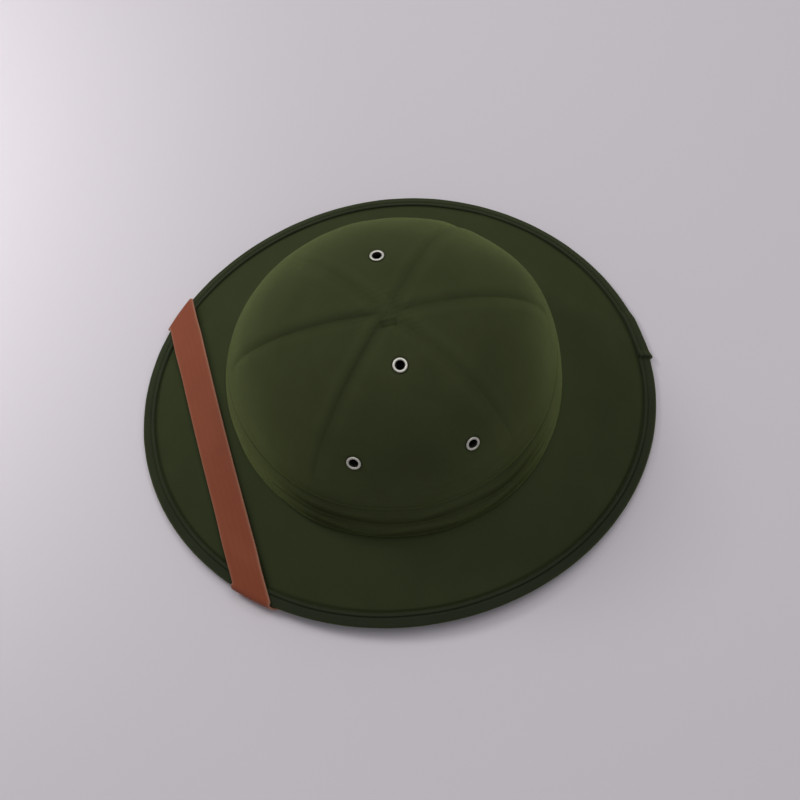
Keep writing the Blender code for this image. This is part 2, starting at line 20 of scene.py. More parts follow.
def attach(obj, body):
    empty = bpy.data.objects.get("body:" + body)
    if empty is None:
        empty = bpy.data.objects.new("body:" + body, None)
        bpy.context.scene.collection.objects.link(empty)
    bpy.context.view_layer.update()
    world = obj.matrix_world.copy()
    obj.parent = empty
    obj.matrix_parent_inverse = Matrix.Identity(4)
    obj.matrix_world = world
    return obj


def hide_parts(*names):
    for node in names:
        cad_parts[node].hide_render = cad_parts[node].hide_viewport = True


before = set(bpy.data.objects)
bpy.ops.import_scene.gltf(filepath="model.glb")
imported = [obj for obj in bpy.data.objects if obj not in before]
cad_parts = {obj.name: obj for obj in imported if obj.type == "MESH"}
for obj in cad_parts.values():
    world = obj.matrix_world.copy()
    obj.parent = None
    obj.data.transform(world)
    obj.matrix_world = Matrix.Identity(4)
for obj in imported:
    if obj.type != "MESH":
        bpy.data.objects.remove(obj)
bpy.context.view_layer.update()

Array = NDArray[np.float64]
Mask = NDArray[np.bool_]
Number = float | Array
Setting = object
Sockets = Mapping[str, Setting]
MM = 0.001
LOG = logging.getLogger("pith_helmet")
UP = np.array((0.0, 0.0, 1.0))
LEVEL = np.array((1.0, 1.0, 0.0))


def smooth(value: Number) -> Array:
    """A step from 0 to 1 with level ends: 3 t squared less 2 t cubed."""
    share = np.clip(value, 0.0, 1.0)
    return share * share * (3.0 - 2.0 * share)


def hump(distance: Number, width: float) -> Array:
    """A bell: e to the power of minus the square of distance over width."""
    return np.exp(-np.square(np.asarray(distance) / width))


def apart(angle: Number, middle: Number) -> Array:
    """How far round angles lie from a middle one, -180 to 180."""
    return (np.asarray(angle) - middle + 180.0) % 360.0 - 180.0


def whole_turn(steps: int) -> Array:
    """Evenly spaced angles round the helmet, as one row."""
    return np.linspace(-180.0, 180.0, steps, endpoint=False)[None, :]


def lengths(points: Array) -> Array:
    """The length of a line of points up to each of them."""
    steps = np.linalg.norm(np.diff(points, axis=0), axis=-1)
    return np.concatenate([[0.0], np.cumsum(steps)])


def arc(start: float, stop: float, count: int) -> tuple[Array, Array]:
    """The cosines and sines of evenly spaced angles, in degrees."""
    turn = np.radians(np.linspace(start, stop, count))
    return np.cos(turn), np.sin(turn)


def closed(grid: Array) -> Array:
    """A grid with its first column again at the end."""
    return np.concatenate([grid, grid[:, :1]], axis=1)


def ripple(first: Array, second: Array, length: float, seed: int) -> Array:
    """Gentle unevenness over two coordinates: a mean of sines of varied ways and lengths.

    Args:
        first: One coordinate of each point.
        second: The other coordinate of each point.
        length: The usual distance between two crests.
        seed: Which pattern it is.

    Returns:
        Values of about -1 to 1, in the shape of the coordinates.
    """
    waves = 7
    dice = np.random.default_rng(seed)
    total = np.zeros(np.broadcast(first, second).shape)
    for _ in range(waves):
        heading = dice.uniform(0.0, math.tau)
        pace = math.tau / (length * dice.uniform(0.6, 1.7))
        phase = dice.uniform(0.0, math.tau)
        total += np.sin((first * math.cos(heading) + second * math.sin(heading)) * pace + phase)
    return total / math.sqrt(waves / 2.0) / 1.6


def round_ripple(angle: Array, turns: Sequence[int], seed: int) -> Array:
    """Unevenness that closes on itself round the helmet: a mean of sines of whole turns."""
    dice = np.random.default_rng(seed)
    phases = dice.uniform(0.0, math.tau, len(turns))
    waves = [np.sin(np.radians(angle) * turn + phase) for turn, phase in zip(turns, phases)]
    return np.sum(waves, axis=0) / len(turns)


def vectors(*parts: Number) -> Array:
    """Arrays of coordinates as one array of points."""
    return np.stack(np.broadcast_arrays(*parts), axis=-1)


def unit(values: Array) -> Array:
    """Each vector at a length of one."""
    return values / np.linalg.norm(values, axis=-1, keepdims=True)


@dataclass(frozen=True)
class CrownForm:
    """The outer cloth of the crown: an oval dome with steep sides."""

    half_length: float = 101.9 * MM
    half_width: float = 98.0 * MM
    top: float = 134.4 * MM
    foot: float = 31.0 * MM
    roundness: float = 2.69
    shoulder: float = 1.89
    centre_y: float = -1.35 * MM
    bulges: tuple = ((-158.0, 19.0, 4.1 * MM), (-127.0, 17.0, 1.7 * MM),
                     (-24.0, 34.0, 2.95 * MM))

    @property
    def rise(self) -> float:
        """The height of the crown over its foot."""
        return self.top - self.foot

    def normal(self, angle: Number, share: Number) -> Array:
        """The way straight out of the dome, which is the slope of its height."""
        turn = np.radians(angle)
        inside = np.clip(1.0 - np.power(share, self.roundness), 1e-12, None)
        fall = (np.power(share, self.roundness - 1.0) * inside ** (1.0 / self.shoulder - 1.0)
                * self.roundness / self.shoulder * self.rise)
        return unit(vectors(np.sin(turn) / self.half_width * fall,
                            -np.cos(turn) / self.half_length * fall, np.ones_like(fall)))

    def surface(self, angle: Number, share: Number, lift: Number = 0.0) -> Array:
        """Points of the dome.

        The height over the foot is the rise times (1 - share ^ roundness) ^ (1 / shoulder).

        Args:
            angle: The angle round the helmet.
            share: The share of the crown's radius.
            lift: How far out of the dome the point lies.

        Returns:
            The points, with their coordinates on the last axis.
        """
        turn = np.radians(angle)
        inside = np.clip(1.0 - np.power(share, self.roundness), 0.0, None)
        height = self.foot + self.rise * inside ** (1.0 / self.shoulder)
        points = vectors(self.half_width * share * np.sin(turn),
                         self.centre_y - self.half_length * share * np.cos(turn), height)
        return points + self.normal(angle, share) * np.asarray(lift)[..., None]

    def fullness(self, angle: Number, height: Number) -> Array:
        """How far the cloth bellies out of the dome, each bulge a hump over the angle."""
        lift = sum(size * hump(apart(angle, middle), reach)
                   for middle, reach, size in self.bulges)
        return lift * (smooth((height - self.foot - 1.0 * MM) / (14.0 * MM))
                       * (1.0 - smooth((height - 92.0 * MM) / (36.0 * MM))))

    def share_at(self, height: Number) -> Array:
        """The share of the radius where the dome has a height."""
        rise = np.clip((np.asarray(height) - self.foot) / self.rise, 0.0, 1.0)
        return (1.0 - rise ** self.shoulder) ** (1.0 / self.roundness)

    def paced_shares(self, start: float, stop: float, count: int, even: float) -> tuple:
        """Shares whose spacing down the dome grows steadily.

        Args:
            start: The first share.
            stop: The last share.
            count: How many there are.
            even: 1 for an even spacing, less for a closer one at the start.

        Returns:
            The shares, and the length down the dome at each.
        """
        fine = start + (stop - start) * (1.0 - (1.0 - np.linspace(0.0, 1.0, 6000)) ** 3)
        length = lengths(self.surface(90.0, fine))
        share = np.linspace(0.0, 1.0, count)
        wanted = length[-1] * (even * share + (1.0 - even) * share ** 2)
        return np.interp(wanted, length, fine), wanted


@dataclass(frozen=True)
class BrimForm:
    """The middle layer of the brim, from the crown's wall to the rounded rim."""

    crown: CrownForm
    half_length: float = 165.0 * MM
    half_width: float = 148.8 * MM
    side_rise: float = 7.2 * MM
    rest_angle: float = 8.0
    bow: float = 0.9 * MM
    rim_radius: float = 2.85 * MM
    flat_half_angle: float = 20.0
    cover_top: float = 1.55 * MM
    centre_y: float = -0.45 * MM
    flat_depth: float = 1.8 * MM
    flat_angle: float = -66.0
    flat_reach: float = 44.0
    shell_below: float = 1.55 * MM
    stud_out: float = 11.9 * MM

    def fullness(self, angle: Number) -> Array:
        """The share of the full oval that the rim keeps, less than 1 where it is flattened."""
        reach = np.minimum(1.0, np.abs(apart(angle, self.flat_angle)) / self.flat_reach)
        return 1.0 - self.flat_depth / self.half_width * np.cos(math.pi / 2.0 * reach) ** 2

    def inner(self, angle: Number) -> Array:
        """Where the middle layer meets the crown's wall."""
        return self.crown.surface(angle, 1.0) - UP * self.cover_top

    def outer(self, angle: Number) -> Array:
        """The middle of the rounded rim, which rises towards the sides."""
        turn = np.radians(angle)
        rest = math.sin(math.radians(self.rest_angle)) ** 2
        rise = self.side_rise * np.clip((np.sin(turn) ** 2 - rest) / (1.0 - rest), 0.0, None)
        full = self.fullness(angle)
        return vectors((self.half_width - self.rim_radius) * full * np.sin(turn),
                       self.centre_y - (self.half_length - self.rim_radius) * full * np.cos(turn),
                       self.lowest + rise)

    @property
    def lowest(self) -> float:
        """The height of the rim's middle over the flat that it rests on."""
        return self.rim_radius * math.cos(math.radians(self.flat_half_angle))

    def level_width(self, angle: Number) -> Array:
        """The brim's width in the plan."""
        return np.linalg.norm((self.outer(angle) - self.inner(angle))[..., :2], axis=-1)

    def axes(self, angle: Number, share: Number) -> tuple[Array, Array, Array]:
        """A point of the middle layer, the way out along it and the way up from it.

        The layer is a straight line from the crown to the rim, plus a low arch of
        4 s (1 - s) times the bow, where s is the share.
        """
        angle, share = np.broadcast_arrays(np.asarray(angle, float), np.asarray(share, float))
        inner = self.inner(angle)
        along = self.outer(angle) - inner
        part = share[..., None]
        bow = UP * self.bow * 4.0
        point = inner + along * part + bow * part * (1.0 - part)
        out = unit(along + bow * (1.0 - 2.0 * part))
        flat = unit(along * LEVEL)
        forward = np.sum(out * flat, axis=-1, keepdims=True)
        up = unit(UP * forward - flat * out[..., 2:])
        return point, out, up

    def surface(self, angle: Number, share: Number, lift: Number) -> Array:
        """Points at a height over the middle layer."""
        point, _, up = self.axes(angle, share)
        return point + up * np.asarray(lift)[..., None]

    def share_at(self, angle: Number, distance: Number) -> Array:
        """The share of the brim at a level distance out from the crown's wall."""
        return distance / self.level_width(angle)

    def stud(self, angle: float) -> tuple[Array, Array, Array]:
        """The middle layer at a strap stud: the point, the way out and the way up."""
        return self.axes(angle, self.share_at(angle, self.stud_out))

    def rim_turn(self, angle: Number, radius: Number, turn: Number,
                 share: Number = 1.0) -> Array:
        """Points round the rim: turn is 0 outwards, 90 upwards and -90 downwards."""
        angle, radius, turn, share = np.broadcast_arrays(angle, radius, turn, share)
        point, _, _ = self.axes(angle, share)
        flat = unit((self.outer(angle) - self.inner(angle)) * LEVEL)
        bend = np.radians(turn)
        return (point + flat * (radius * np.cos(bend))[..., None]
                + UP * (radius * np.sin(bend))[..., None])

    def slope(self, angle: Number) -> Array:
        """The brim's fall at the rim, in degrees."""
        _, out, _ = self.axes(angle, 1.0)
        return np.degrees(np.arcsin(-out[..., 2]))

    def place(self, plan: Array) -> tuple[Array, Array]:
        """The angle and the share below points of the plan, by halving the range of share.

        Args:
            plan: Points of the plan, with x and y on the last axis.

        Returns:
            The angles and the shares.
        """
        low = np.full(plan.shape[:-1], -0.5)
        high = np.full(plan.shape[:-1], 1.5)
        for _ in range(40):
            share = (low + high) / 2.0
            x, y = self._scaled(plan, share)
            inside = np.hypot(x, y) < 1.0
            low, high = np.where(inside, low, share), np.where(inside, share, high)
        x, y = self._scaled(plan, share)
        return np.degrees(np.arctan2(x, -y)), share

    def _scaled(self, plan: Array, share: Array) -> tuple[Array, Array]:
        """Points of the plan in units of the oval that lies at each share."""
        bearing = np.degrees(np.arctan2(plan[..., 0] / self.half_width,
                                        -plan[..., 1] / self.half_length))
        full = self.fullness(bearing) * share
        width = (self.crown.half_width * (1.0 - share)
                 + (self.half_width - self.rim_radius) * full)
        length = (self.crown.half_length * (1.0 - share)
                  + (self.half_length - self.rim_radius) * full)
        middle = self.crown.centre_y * (1.0 - share) + self.centre_y * share
        return plan[..., 0] / width, (plan[..., 1] - middle) / length


@dataclass
class Body:
    """A closed surface on its way to a mesh.

    Attributes:
        points: The vertices.
        faces: Arrays of faces, one for each number of corners.
        patterns: For each array of faces, the pattern place of each corner, in metres.
        marks: Values of the vertices, by the name that the materials read.
    """

    points: Array
    faces: list[Array]
    patterns: list[Array]
    marks: dict[str, Array]

    def volume(self) -> float:
        """The enclosed volume: a sixth of the sum of the triangles' triple products."""
        total = 0.0
        for faces in self.faces:
            corners = self.points[faces]
            for step in range(1, faces.shape[1] - 1):
                turned = np.cross(corners[:, step], corners[:, step + 1])
                total += float(np.sum(corners[:, 0] * turned))
        return total / 6.0


def grid_squares(kept: Mask) -> Array:
    """The rows and columns of the four corners of each kept square of a grid."""
    rows, columns = np.nonzero(kept)
    return np.stack([np.stack([rows, rows, rows + 1, rows + 1], axis=-1),
                     np.stack([columns, columns + 1, columns + 1, columns], axis=-1)])


def wall(outer: Array, inner: Array, kept: Mask, pattern: Array,
         marks: Mapping[str, Array], pole: bool = False) -> Body:
    """A wall between two grids of points, closed along every edge.

    Its edges are the sides of kept squares that no other kept square shares.

    Args:
        outer: The grid of the outer face, rows by columns.
        inner: The grid of the inner face.
        kept: The kept squares. A last column of squares joins the last points to the first.
        pattern: The pattern place of each point, with one more column than the grid.
        marks: Values of the grid's points.
        pole: Whether the first row closes in a point.

    Returns:
        The closed wall.
    """
    height, width = outer.shape[:2]
    count = height * width
    row, column = grid_squares(kept)
    tops, top_places = [row * width + column % width], [pattern[row, column]]
    points = [outer.reshape(-1, 3), inner.reshape(-1, 3)]
    values = {name: [mark.reshape(-1), mark.reshape(-1)] for name, mark in marks.items()}
    if pole:
        ring = np.arange(width)
        fan = np.stack([np.roll(ring, -1), ring, np.full(width, 2 * count)], axis=-1)
        tops.append(fan)
        centre = np.broadcast_to(pattern[0].mean(axis=0), (width, 2))
        top_places.append(np.stack([pattern[0, 1:], pattern[0, :-1], centre], axis=1))
        points += [outer[0].mean(axis=0)[None], inner[0].mean(axis=0)[None]]
        for name, mark in marks.items():
            values[name] += [mark[0, :1], mark[0, :1]]
    below = np.arange(2 * count + 2)
    below[:count] += count
    below[2 * count] += 1
    faces = tops + [below[top[:, ::-1]] for top in tops]
    patterns = top_places + [place[:, ::-1] for place in top_places]
    edges = np.concatenate([np.stack([top, np.roll(top, -1, axis=1)], axis=2).reshape(-1, 2)
                            for top in tops])
    spots = np.concatenate([np.stack([place, np.roll(place, -1, axis=1)], axis=2)
                            .reshape(-1, 2, 2) for place in top_places])
    size = 2 * count + 2
    alone = ~np.isin(edges[:, 0] * size + edges[:, 1], edges[:, 1] * size + edges[:, 0])
    first, second = edges[alone].T
    faces.append(np.stack([second, first, below[first], below[second]], axis=-1))
    side = spots[alone]
    patterns.append(np.stack([side[:, 1], side[:, 0], side[:, 0], side[:, 1]], axis=1))
    return Body(np.concatenate(points), faces, patterns,
                {name: np.concatenate(parts) for name, parts in values.items()})


def tube(rings: Array, pattern: Array, marks: Mapping[str, Array], loop: bool = True) -> Body:
    """A solid whose closed section is carried along a path.

    Args:
        rings: Sections by points of a section.
        pattern: The pattern place of each point, with one more row and column than rings.
        marks: Values of the points.
        loop: Whether the last section joins the first. Otherwise flat ends close it.

    Returns:
        The closed solid.
    """
    height, width = rings.shape[:2]
    row, column = grid_squares(np.ones((height if loop else height - 1, width), bool))
    faces = [row % height * width + column % width]
    patterns = [pattern[row, column]]
    if not loop:
        ring = np.arange(width)
        faces.append(np.stack([ring[::-1], ring + (height - 1) * width]))
        patterns.append(np.stack([pattern[0, :width][::-1], pattern[height - 1, :width]]))
    return Body(rings.reshape(-1, 3), faces, patterns,
                {name: mark.reshape(-1) for name, mark in marks.items()})


def touching(squares: Mask) -> Mask:
    """The points of a grid that any of these squares has as a corner."""
    empty = np.zeros((1, squares.shape[1]), bool)
    rows = np.concatenate([squares, empty]) | np.concatenate([empty, squares])
    return rows | np.roll(rows, 1, axis=1)


@dataclass(frozen=True)
class Hole:
    """A round hole: its middle, the way through it and its radius."""

    centre: Array
    axis: Array
    radius: float

    def offset(self, points: Array) -> tuple[Array, Array]:
        """The way from the hole's axis to each point, and its length, far ones as large."""
        away = points - self.centre
        depth = np.sum(away * self.axis, axis=-1, keepdims=True)
        across = away - self.axis * depth
        length = np.linalg.norm(across, axis=-1)
        return across, np.where(np.abs(depth[..., 0]) < 20.0 * MM, length, 1.0)

    def cut(self, kept: Mask, grids: Sequence[Array]) -> None:
        """Drop the squares inside the hole and draw the points round it to its edge.

        Args:
            kept: The kept squares of the grids, changed here.
            grids: The outer and inner grids of a wall, changed here.
        """
        first = grids[0]
        beside = np.roll(first, -1, axis=1)
        middle = (first[:-1] + first[1:] + beside[:-1] + beside[1:]) / 4.0
        dropped = kept & (self.offset(middle)[1] < self.radius)
        kept &= ~dropped
        edge = touching(dropped) & touching(kept)
        for grid in grids:
            across, length = self.offset(grid)
            share = np.where(edge, self.radius / np.maximum(length, 1e-6) - 1.0, 0.0)
            grid += across * share[..., None]


@dataclass(frozen=True)
class Value:
    """A number or colour that a material's nodes give, for use in sums and products."""

    bench: "Bench"
    socket: bpy.types.NodeSocket

    def _math(self, operation: str, first: "Value | float",
              second: "Value | float" = 0.0) -> "Value":
        """A Math node of two numbers."""
        return self.bench.node("ShaderNodeMath", {"operation": operation},
                               {0: first, 1: second})

    def __add__(self, other: "Value | float") -> "Value":
        """This plus other."""
        return self._math("ADD", self, other)

    def __sub__(self, other: "Value | float") -> "Value":
        """This less other."""
        return self._math("SUBTRACT", self, other)

    def __rsub__(self, other: float) -> "Value":
        """Other less this."""
        return self._math("SUBTRACT", other, self)

    def __mul__(self, other: "Value | float") -> "Value":
        """This times other."""
        return self._math("MULTIPLY", self, other)

    __radd__ = __add__
    __rmul__ = __mul__

    def sine(self) -> "Value":
        """The sine."""
        return self._math("SINE", self)

    def step(self, start: float, stop: float) -> "Value":
        """A smooth step from 0 at start to 1 at stop."""
        return self.bench.node(
            "ShaderNodeMapRange", {"interpolation_type": "SMOOTHSTEP"},
            {"Value": self, "From Min": start, "From Max": stop})


class Bench:
    """The nodes of one material."""

    def __init__(self, name: str) -> None:
        """Start a material with a Principled shader."""
        self.material = bpy.data.materials.new(name)
        self.material.use_nodes = True
        self.tree = self.material.node_tree
        self.shader = self.tree.nodes["Principled BSDF"]

    def node(self, kind: str, settings: Mapping[str, Setting],
             sockets: Mapping[str | int, Setting], output: str | int = 0) -> Value:
        """Add a node.

        Args:
            kind: The node's type.
            settings: Its settings, set first.
            sockets: The values or links of its sockets.
            output: Which of its outputs is wanted.

        Returns:
            The wanted output.
        """
        made = self.tree.nodes.new(kind)
        for name, value in settings.items():
            setattr(made, name, value)
        for name, value in sockets.items():
            self.set(made.inputs[name], value)
        return Value(self, made.outputs[output])

    def set(self, socket: bpy.types.NodeSocket, value: Setting) -> None:
        """Link or set a socket, a colour with full alpha."""
        if isinstance(value, Value):
            self.tree.links.new(value.socket, socket)
        elif isinstance(value, tuple) and len(value) == 3 and socket.type == "RGBA":
            socket.default_value = (*value, 1.0)
        else:
            socket.default_value = value

    def pattern(self) -> tuple[Value, Value]:
        """The place in the piece's own pattern map, along and across, in metres."""
        place = self.node("ShaderNodeUVMap", {"uv_map": "pattern"}, {})
        return (self.node("ShaderNodeSeparateXYZ", {}, {0: place}, "X"),
                self.node("ShaderNodeSeparateXYZ", {}, {0: place}, "Y"))

    def mark(self, name: str) -> Value:
        """A value that the piece's points carry."""
        return self.node("ShaderNodeAttribute", {"attribute_name": name}, {}, "Fac")

    def noise(self, length: float, detail: float, stretch: tuple = (1.0, 1.0, 1.0)) -> Value:
        """Noise over the object's own space, 0 to 1, with blotches of about that length."""
        place = self.node("ShaderNodeTexCoord", {}, {}, "Object")
        scaled = self.node("ShaderNodeVectorMath", {"operation": "MULTIPLY"},
                           {0: place, 1: stretch})
        return self.node("ShaderNodeTexNoise", {},
                         {"Vector": scaled, "Scale": 1.0 / length, "Detail": detail})

    def mix(self, factor: Value, first: Setting, second: Setting) -> Value:
        """A colour between two, by a factor of 0 to 1."""
        return self.node("ShaderNodeMix", {"data_type": "RGBA"},
                         {0: factor, 6: first, 7: second}, 2)

    def bump(self, height: Value, depth: float, strength: float = 1.0) -> Value:
        """A Bump node for a height of 0 to 1 over that depth."""
        return self.node("ShaderNodeBump", {},
                         {"Strength": strength, "Distance": depth, "Height": height},
                         "Normal")


Colour = tuple[float, float, float]


def from_screen(red: int, green: int, blue: int) -> Colour:
    """A screen colour of 0 to 255 as light, by the usual screen curve."""
    shares = (red / 255.0, green / 255.0, blue / 255.0)
    return tuple(((share + 0.055) / 1.055) ** 2.4 if share > 0.04045 else share / 12.92
                 for share in shares)


def times(colour: Colour, factor: float) -> Colour:
    """A colour made darker or lighter."""
    return tuple(min(1.0, part * factor) for part in colour)


class Weave(Enum):
    """How the threads of a cloth cross."""

    PLAIN = "plain"
    TWILL = "twill"


@dataclass(frozen=True)
class Finish:
    """How a surface looks: its name, and the darker and lighter tone of its blotches."""

    name: str
    dark: Colour
    light: Colour

    def sockets(self, bench: Bench) -> Sockets:
        """What the shader's sockets get."""
        raise NotImplementedError

    def material(self) -> bpy.types.Material:
        """The finished material."""
        bench = Bench(self.name)
        for name, value in self.sockets(bench).items():
            bench.set(bench.shader.inputs[name], value)
        return bench.material


@dataclass(frozen=True)
class ClothFinish(Finish):
    """Woven cotton: threads, blotches of dye, a soft sheen, painted shade and paler places."""

    weave: Weave = Weave.PLAIN
    pitch: float = 0.62 * MM
    depth: float = 0.12 * MM
    blotch: float = 22.0 * MM
    roughness: float = 0.9
    gloss: float = 0.02
    sheen: float = 0.3
    sheen_tint: Colour = (0.68, 0.84, 0.28)
    # colour factors of the painted shade and of the paler places, some of them painted highlights
    painted_shade_tone: float = 0.22
    lightening_tone: float = 1.9

    def threads(self, bench: Bench) -> Value:
        """The height of the threads, 0 to 1.

        Plain threads are the product of two sines, and a twill's ribs are the sine of the
        sum of both places.
        """
        along, across = bench.pattern()
        pace = math.tau / self.pitch
        if self.weave is Weave.TWILL:
            rib = ((along + across) * (pace * 0.5)).sine()
            cross = ((along - across) * (pace * 1.5)).sine()
            return rib * 0.38 + cross * 0.12 + 0.5
        return (along * pace).sine() * (across * pace).sine() * 0.5 + 0.5

    def sockets(self, bench: Bench) -> Sockets:
        """What the shader's sockets get."""
        threads = self.threads(bench)
        blotches = bench.noise(self.blotch, 4.0)
        slubs = bench.noise(1.4 * MM, 2.0, (1.0, 1.0, 0.35))
        tone = blotches * 0.9 + threads * 0.22 + slubs * 0.35 - 0.24
        colour = bench.mix(tone, self.dark, self.light)
        # painted shade: the points' shade mark darkens the colour towards a dark tone
        shaded = bench.mix(bench.mark("shade"), colour, times(self.dark, self.painted_shade_tone))
        # paler places that the points carry, partly painted highlights
        toned = bench.mix(bench.mark("lightening"), shaded, times(self.light, self.lightening_tone))
        height = threads * 0.75 + slubs * 0.5
        return {
            "Base Color": toned,
            "Roughness": self.roughness + (slubs - 0.5) * 0.12,
            "Sheen Weight": self.sheen,
            "Sheen Roughness": 0.42,
            "Sheen Tint": self.sheen_tint,
            "Specular IOR Level": self.gloss,
            "Normal": bench.bump(height, self.depth),
        }


@dataclass(frozen=True)
class LeatherFinish(Finish):
    """Split leather: fine grain, cloudy dye, and paler cut edges."""

    raw: Colour
    roughness: float = 0.52

    def sockets(self, bench: Bench) -> Sockets:
        """What the shader's sockets get."""
        _, across = bench.pattern()
        clouds = bench.noise(26.0 * MM, 4.0)
        place = bench.node("ShaderNodeTexCoord", {}, {}, "Object")
        grain = bench.node("ShaderNodeTexVoronoi", {"feature": "DISTANCE_TO_EDGE"},
                           {"Scale": 1.0 / (0.75 * MM), "Vector": place}, "Distance")
        pores = bench.noise(0.45 * MM, 2.0)
        streaks = (across * (math.tau / (3.4 * MM)) + clouds * 6.0).sine() * 0.5 + 0.5
        creases = grain.step(0.0, 0.16)
        tone = clouds * 0.95 + streaks * 0.1 + pores * 0.3 - 0.2
        colour = bench.mix(tone, self.dark, self.light)
        edge = bench.mark("edge").step(0.0, 1.0)
        fibre = bench.noise(0.8 * MM, 3.0, (0.4, 0.4, 1.6))
        raw = bench.mix(fibre, times(self.raw, 0.7), self.raw)
        # painted shade where the points carry it
        shaded = bench.mix(bench.mark("shade"), colour, times(self.dark, 0.5))
        height = creases * 0.55 + pores * 0.45
        return {
            "Base Color": bench.mix(edge, shaded, raw),
            "Roughness": (clouds - 0.5) * 0.16 + edge * 0.3 + self.roughness,
            "Specular IOR Level": 0.12,
            "Normal": bench.bump(height, 0.07 * MM, 0.7),
        }


@dataclass(frozen=True)
class FibreFinish(Finish):
    """Pressed plant fibre with a painted face: short crossed fibres under thin paint."""

    def sockets(self, bench: Bench) -> Sockets:
        """What the shader's sockets get."""
        first = bench.noise(2.2 * MM, 3.0, (1.0, 0.22, 1.0))
        second = bench.noise(2.2 * MM, 3.0, (0.22, 1.0, 1.0))
        clouds = bench.noise(30.0 * MM, 4.0)
        felt = first * 0.5 + second * 0.5
        colour = bench.mix(clouds * 0.8 + felt * 0.6 - 0.2, self.dark, self.light)
        return {
            # painted shade where the points carry it
            "Base Color": bench.mix(bench.mark("shade"), colour, times(self.dark, 0.4)),
            "Roughness": 0.78 + (felt - 0.5) * 0.2,
            "Specular IOR Level": 0.3,
            "Normal": bench.bump(felt, 0.25 * MM, 0.8),
        }


@dataclass(frozen=True)
class MetalFinish(Finish):
    """Plated metal, dulled by handling, with painted shade where its points carry it."""

    roughness: float
    # near black, the painted shade down the eyelets' bores
    painted_bore_shade: Colour = (0.02, 0.02, 0.015)

    def sockets(self, bench: Bench) -> Sockets:
        """What the shader's sockets get."""
        tarnish = bench.noise(1.6 * MM, 4.0)
        scratches = bench.noise(0.5 * MM, 2.0, (1.0, 0.2, 1.0))
        toned = bench.mix(tarnish.step(0.45, 0.8) * 0.6, self.light, self.dark)
        return {
            "Base Color": bench.mix(bench.mark("shade"), toned, self.painted_bore_shade),
            "Metallic": 1.0,
            "Roughness": self.roughness + (tarnish - 0.5) * 0.22 + (scratches - 0.5) * 0.1,
            "Normal": bench.bump(scratches, 0.015 * MM, 0.5),
        }


@dataclass(frozen=True)
class FloorFinish(Finish):
    """A smooth painted board."""

    def sockets(self, bench: Bench) -> Sockets:
        """What the shader's sockets get."""
        clouds = bench.noise(0.35, 3.0)
        return {
            "Base Color": bench.mix(clouds, self.dark, self.light),
            "Roughness": 0.62 + (clouds - 0.5) * 0.08,
            "Specular IOR Level": 0.3,
            "Normal": bench.bump(bench.noise(1.2 * MM, 2.0), 0.02 * MM, 0.4),
        }


def add_object(name: str, data: bpy.types.ID) -> bpy.types.Object:
    """Add an object to the scene."""
    made = bpy.data.objects.new(name, data)
    bpy.context.scene.collection.objects.link(made)
    return made


def make_piece(name: str, body: Body, material: bpy.types.Material,
               replaced: Sequence[str], sharp: float) -> None:
    """Turn a body into a piece that rides on the helmet.

    Args:
        name: The piece's name.
        body: Its closed surface.
        material: Its finish.
        replaced: The nodes that it stands for.
        sharp: The angle, in degrees, past which an edge is drawn sharp.
    """
    volume = body.volume()
    turn = slice(None, None, -1 if volume < 0.0 else 1)
    used = np.unique(np.concatenate([group.reshape(-1) for group in body.faces]))
    renamed = np.zeros(len(body.points), int)
    renamed[used] = np.arange(len(used))
    faces = [face for group in body.faces for face in renamed[group[:, turn]].tolist()]
    places = [pattern[:, turn].reshape(-1, 2) for pattern in body.patterns]
    mesh = bpy.data.meshes.new(name)
    mesh.from_pydata(body.points[used].tolist(), [], faces)
    layer = mesh.uv_layers.new(name="pattern")
    layer.uv.foreach_set("vector", np.concatenate(places).astype(np.float32).ravel())
    for title, values in body.marks.items():
        mark = mesh.attributes.new(title, "FLOAT", "POINT")
        mark.data.foreach_set("value", values[used].astype(np.float32))
    mesh.materials.append(material)
    mesh.shade_smooth()
    mesh.set_sharp_from_angle(angle=math.radians(sharp))
    made = add_object(name, mesh)
    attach(made, "root")
    if replaced:
        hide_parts(*replaced)
    LOG.info("%s: %d vertices, %d faces, %.1f cm3", name, len(used), len(faces),
             abs(volume) * 1e6)


def revolved(profile: Array, shade: Array, sides: int, centre: Array, axis: Array) -> Body:
    """A turned solid: a closed profile of radius and height carried round an axis.

    Args:
        profile: Points of the closed profile, radius and height.
        shade: How much painted shade each of these points carries.
        sides: How many steps it takes round the axis.
        centre: Where height 0 lies on the axis.
        axis: The way up the axis.

    Returns:
        The closed solid.
    """
    turn = Vector(axis).to_track_quat("Z", "Y").to_matrix()
    across, beside = np.array(turn.col[0]), np.array(turn.col[1])
    angle = np.linspace(0.0, math.tau, sides, endpoint=False)
    radius, height = profile[:, 0], profile[:, 1]
    round_way = across * np.cos(angle)[:, None] + beside * np.sin(angle)[:, None]
    rings = (centre + round_way[:, None] * radius[None, :, None]
             + np.asarray(axis) * height[None, :, None])
    pattern = np.zeros((sides + 1, len(profile) + 1, 2))
    return tube(rings, pattern, {"shade": np.broadcast_to(shade, rings.shape[:2])})


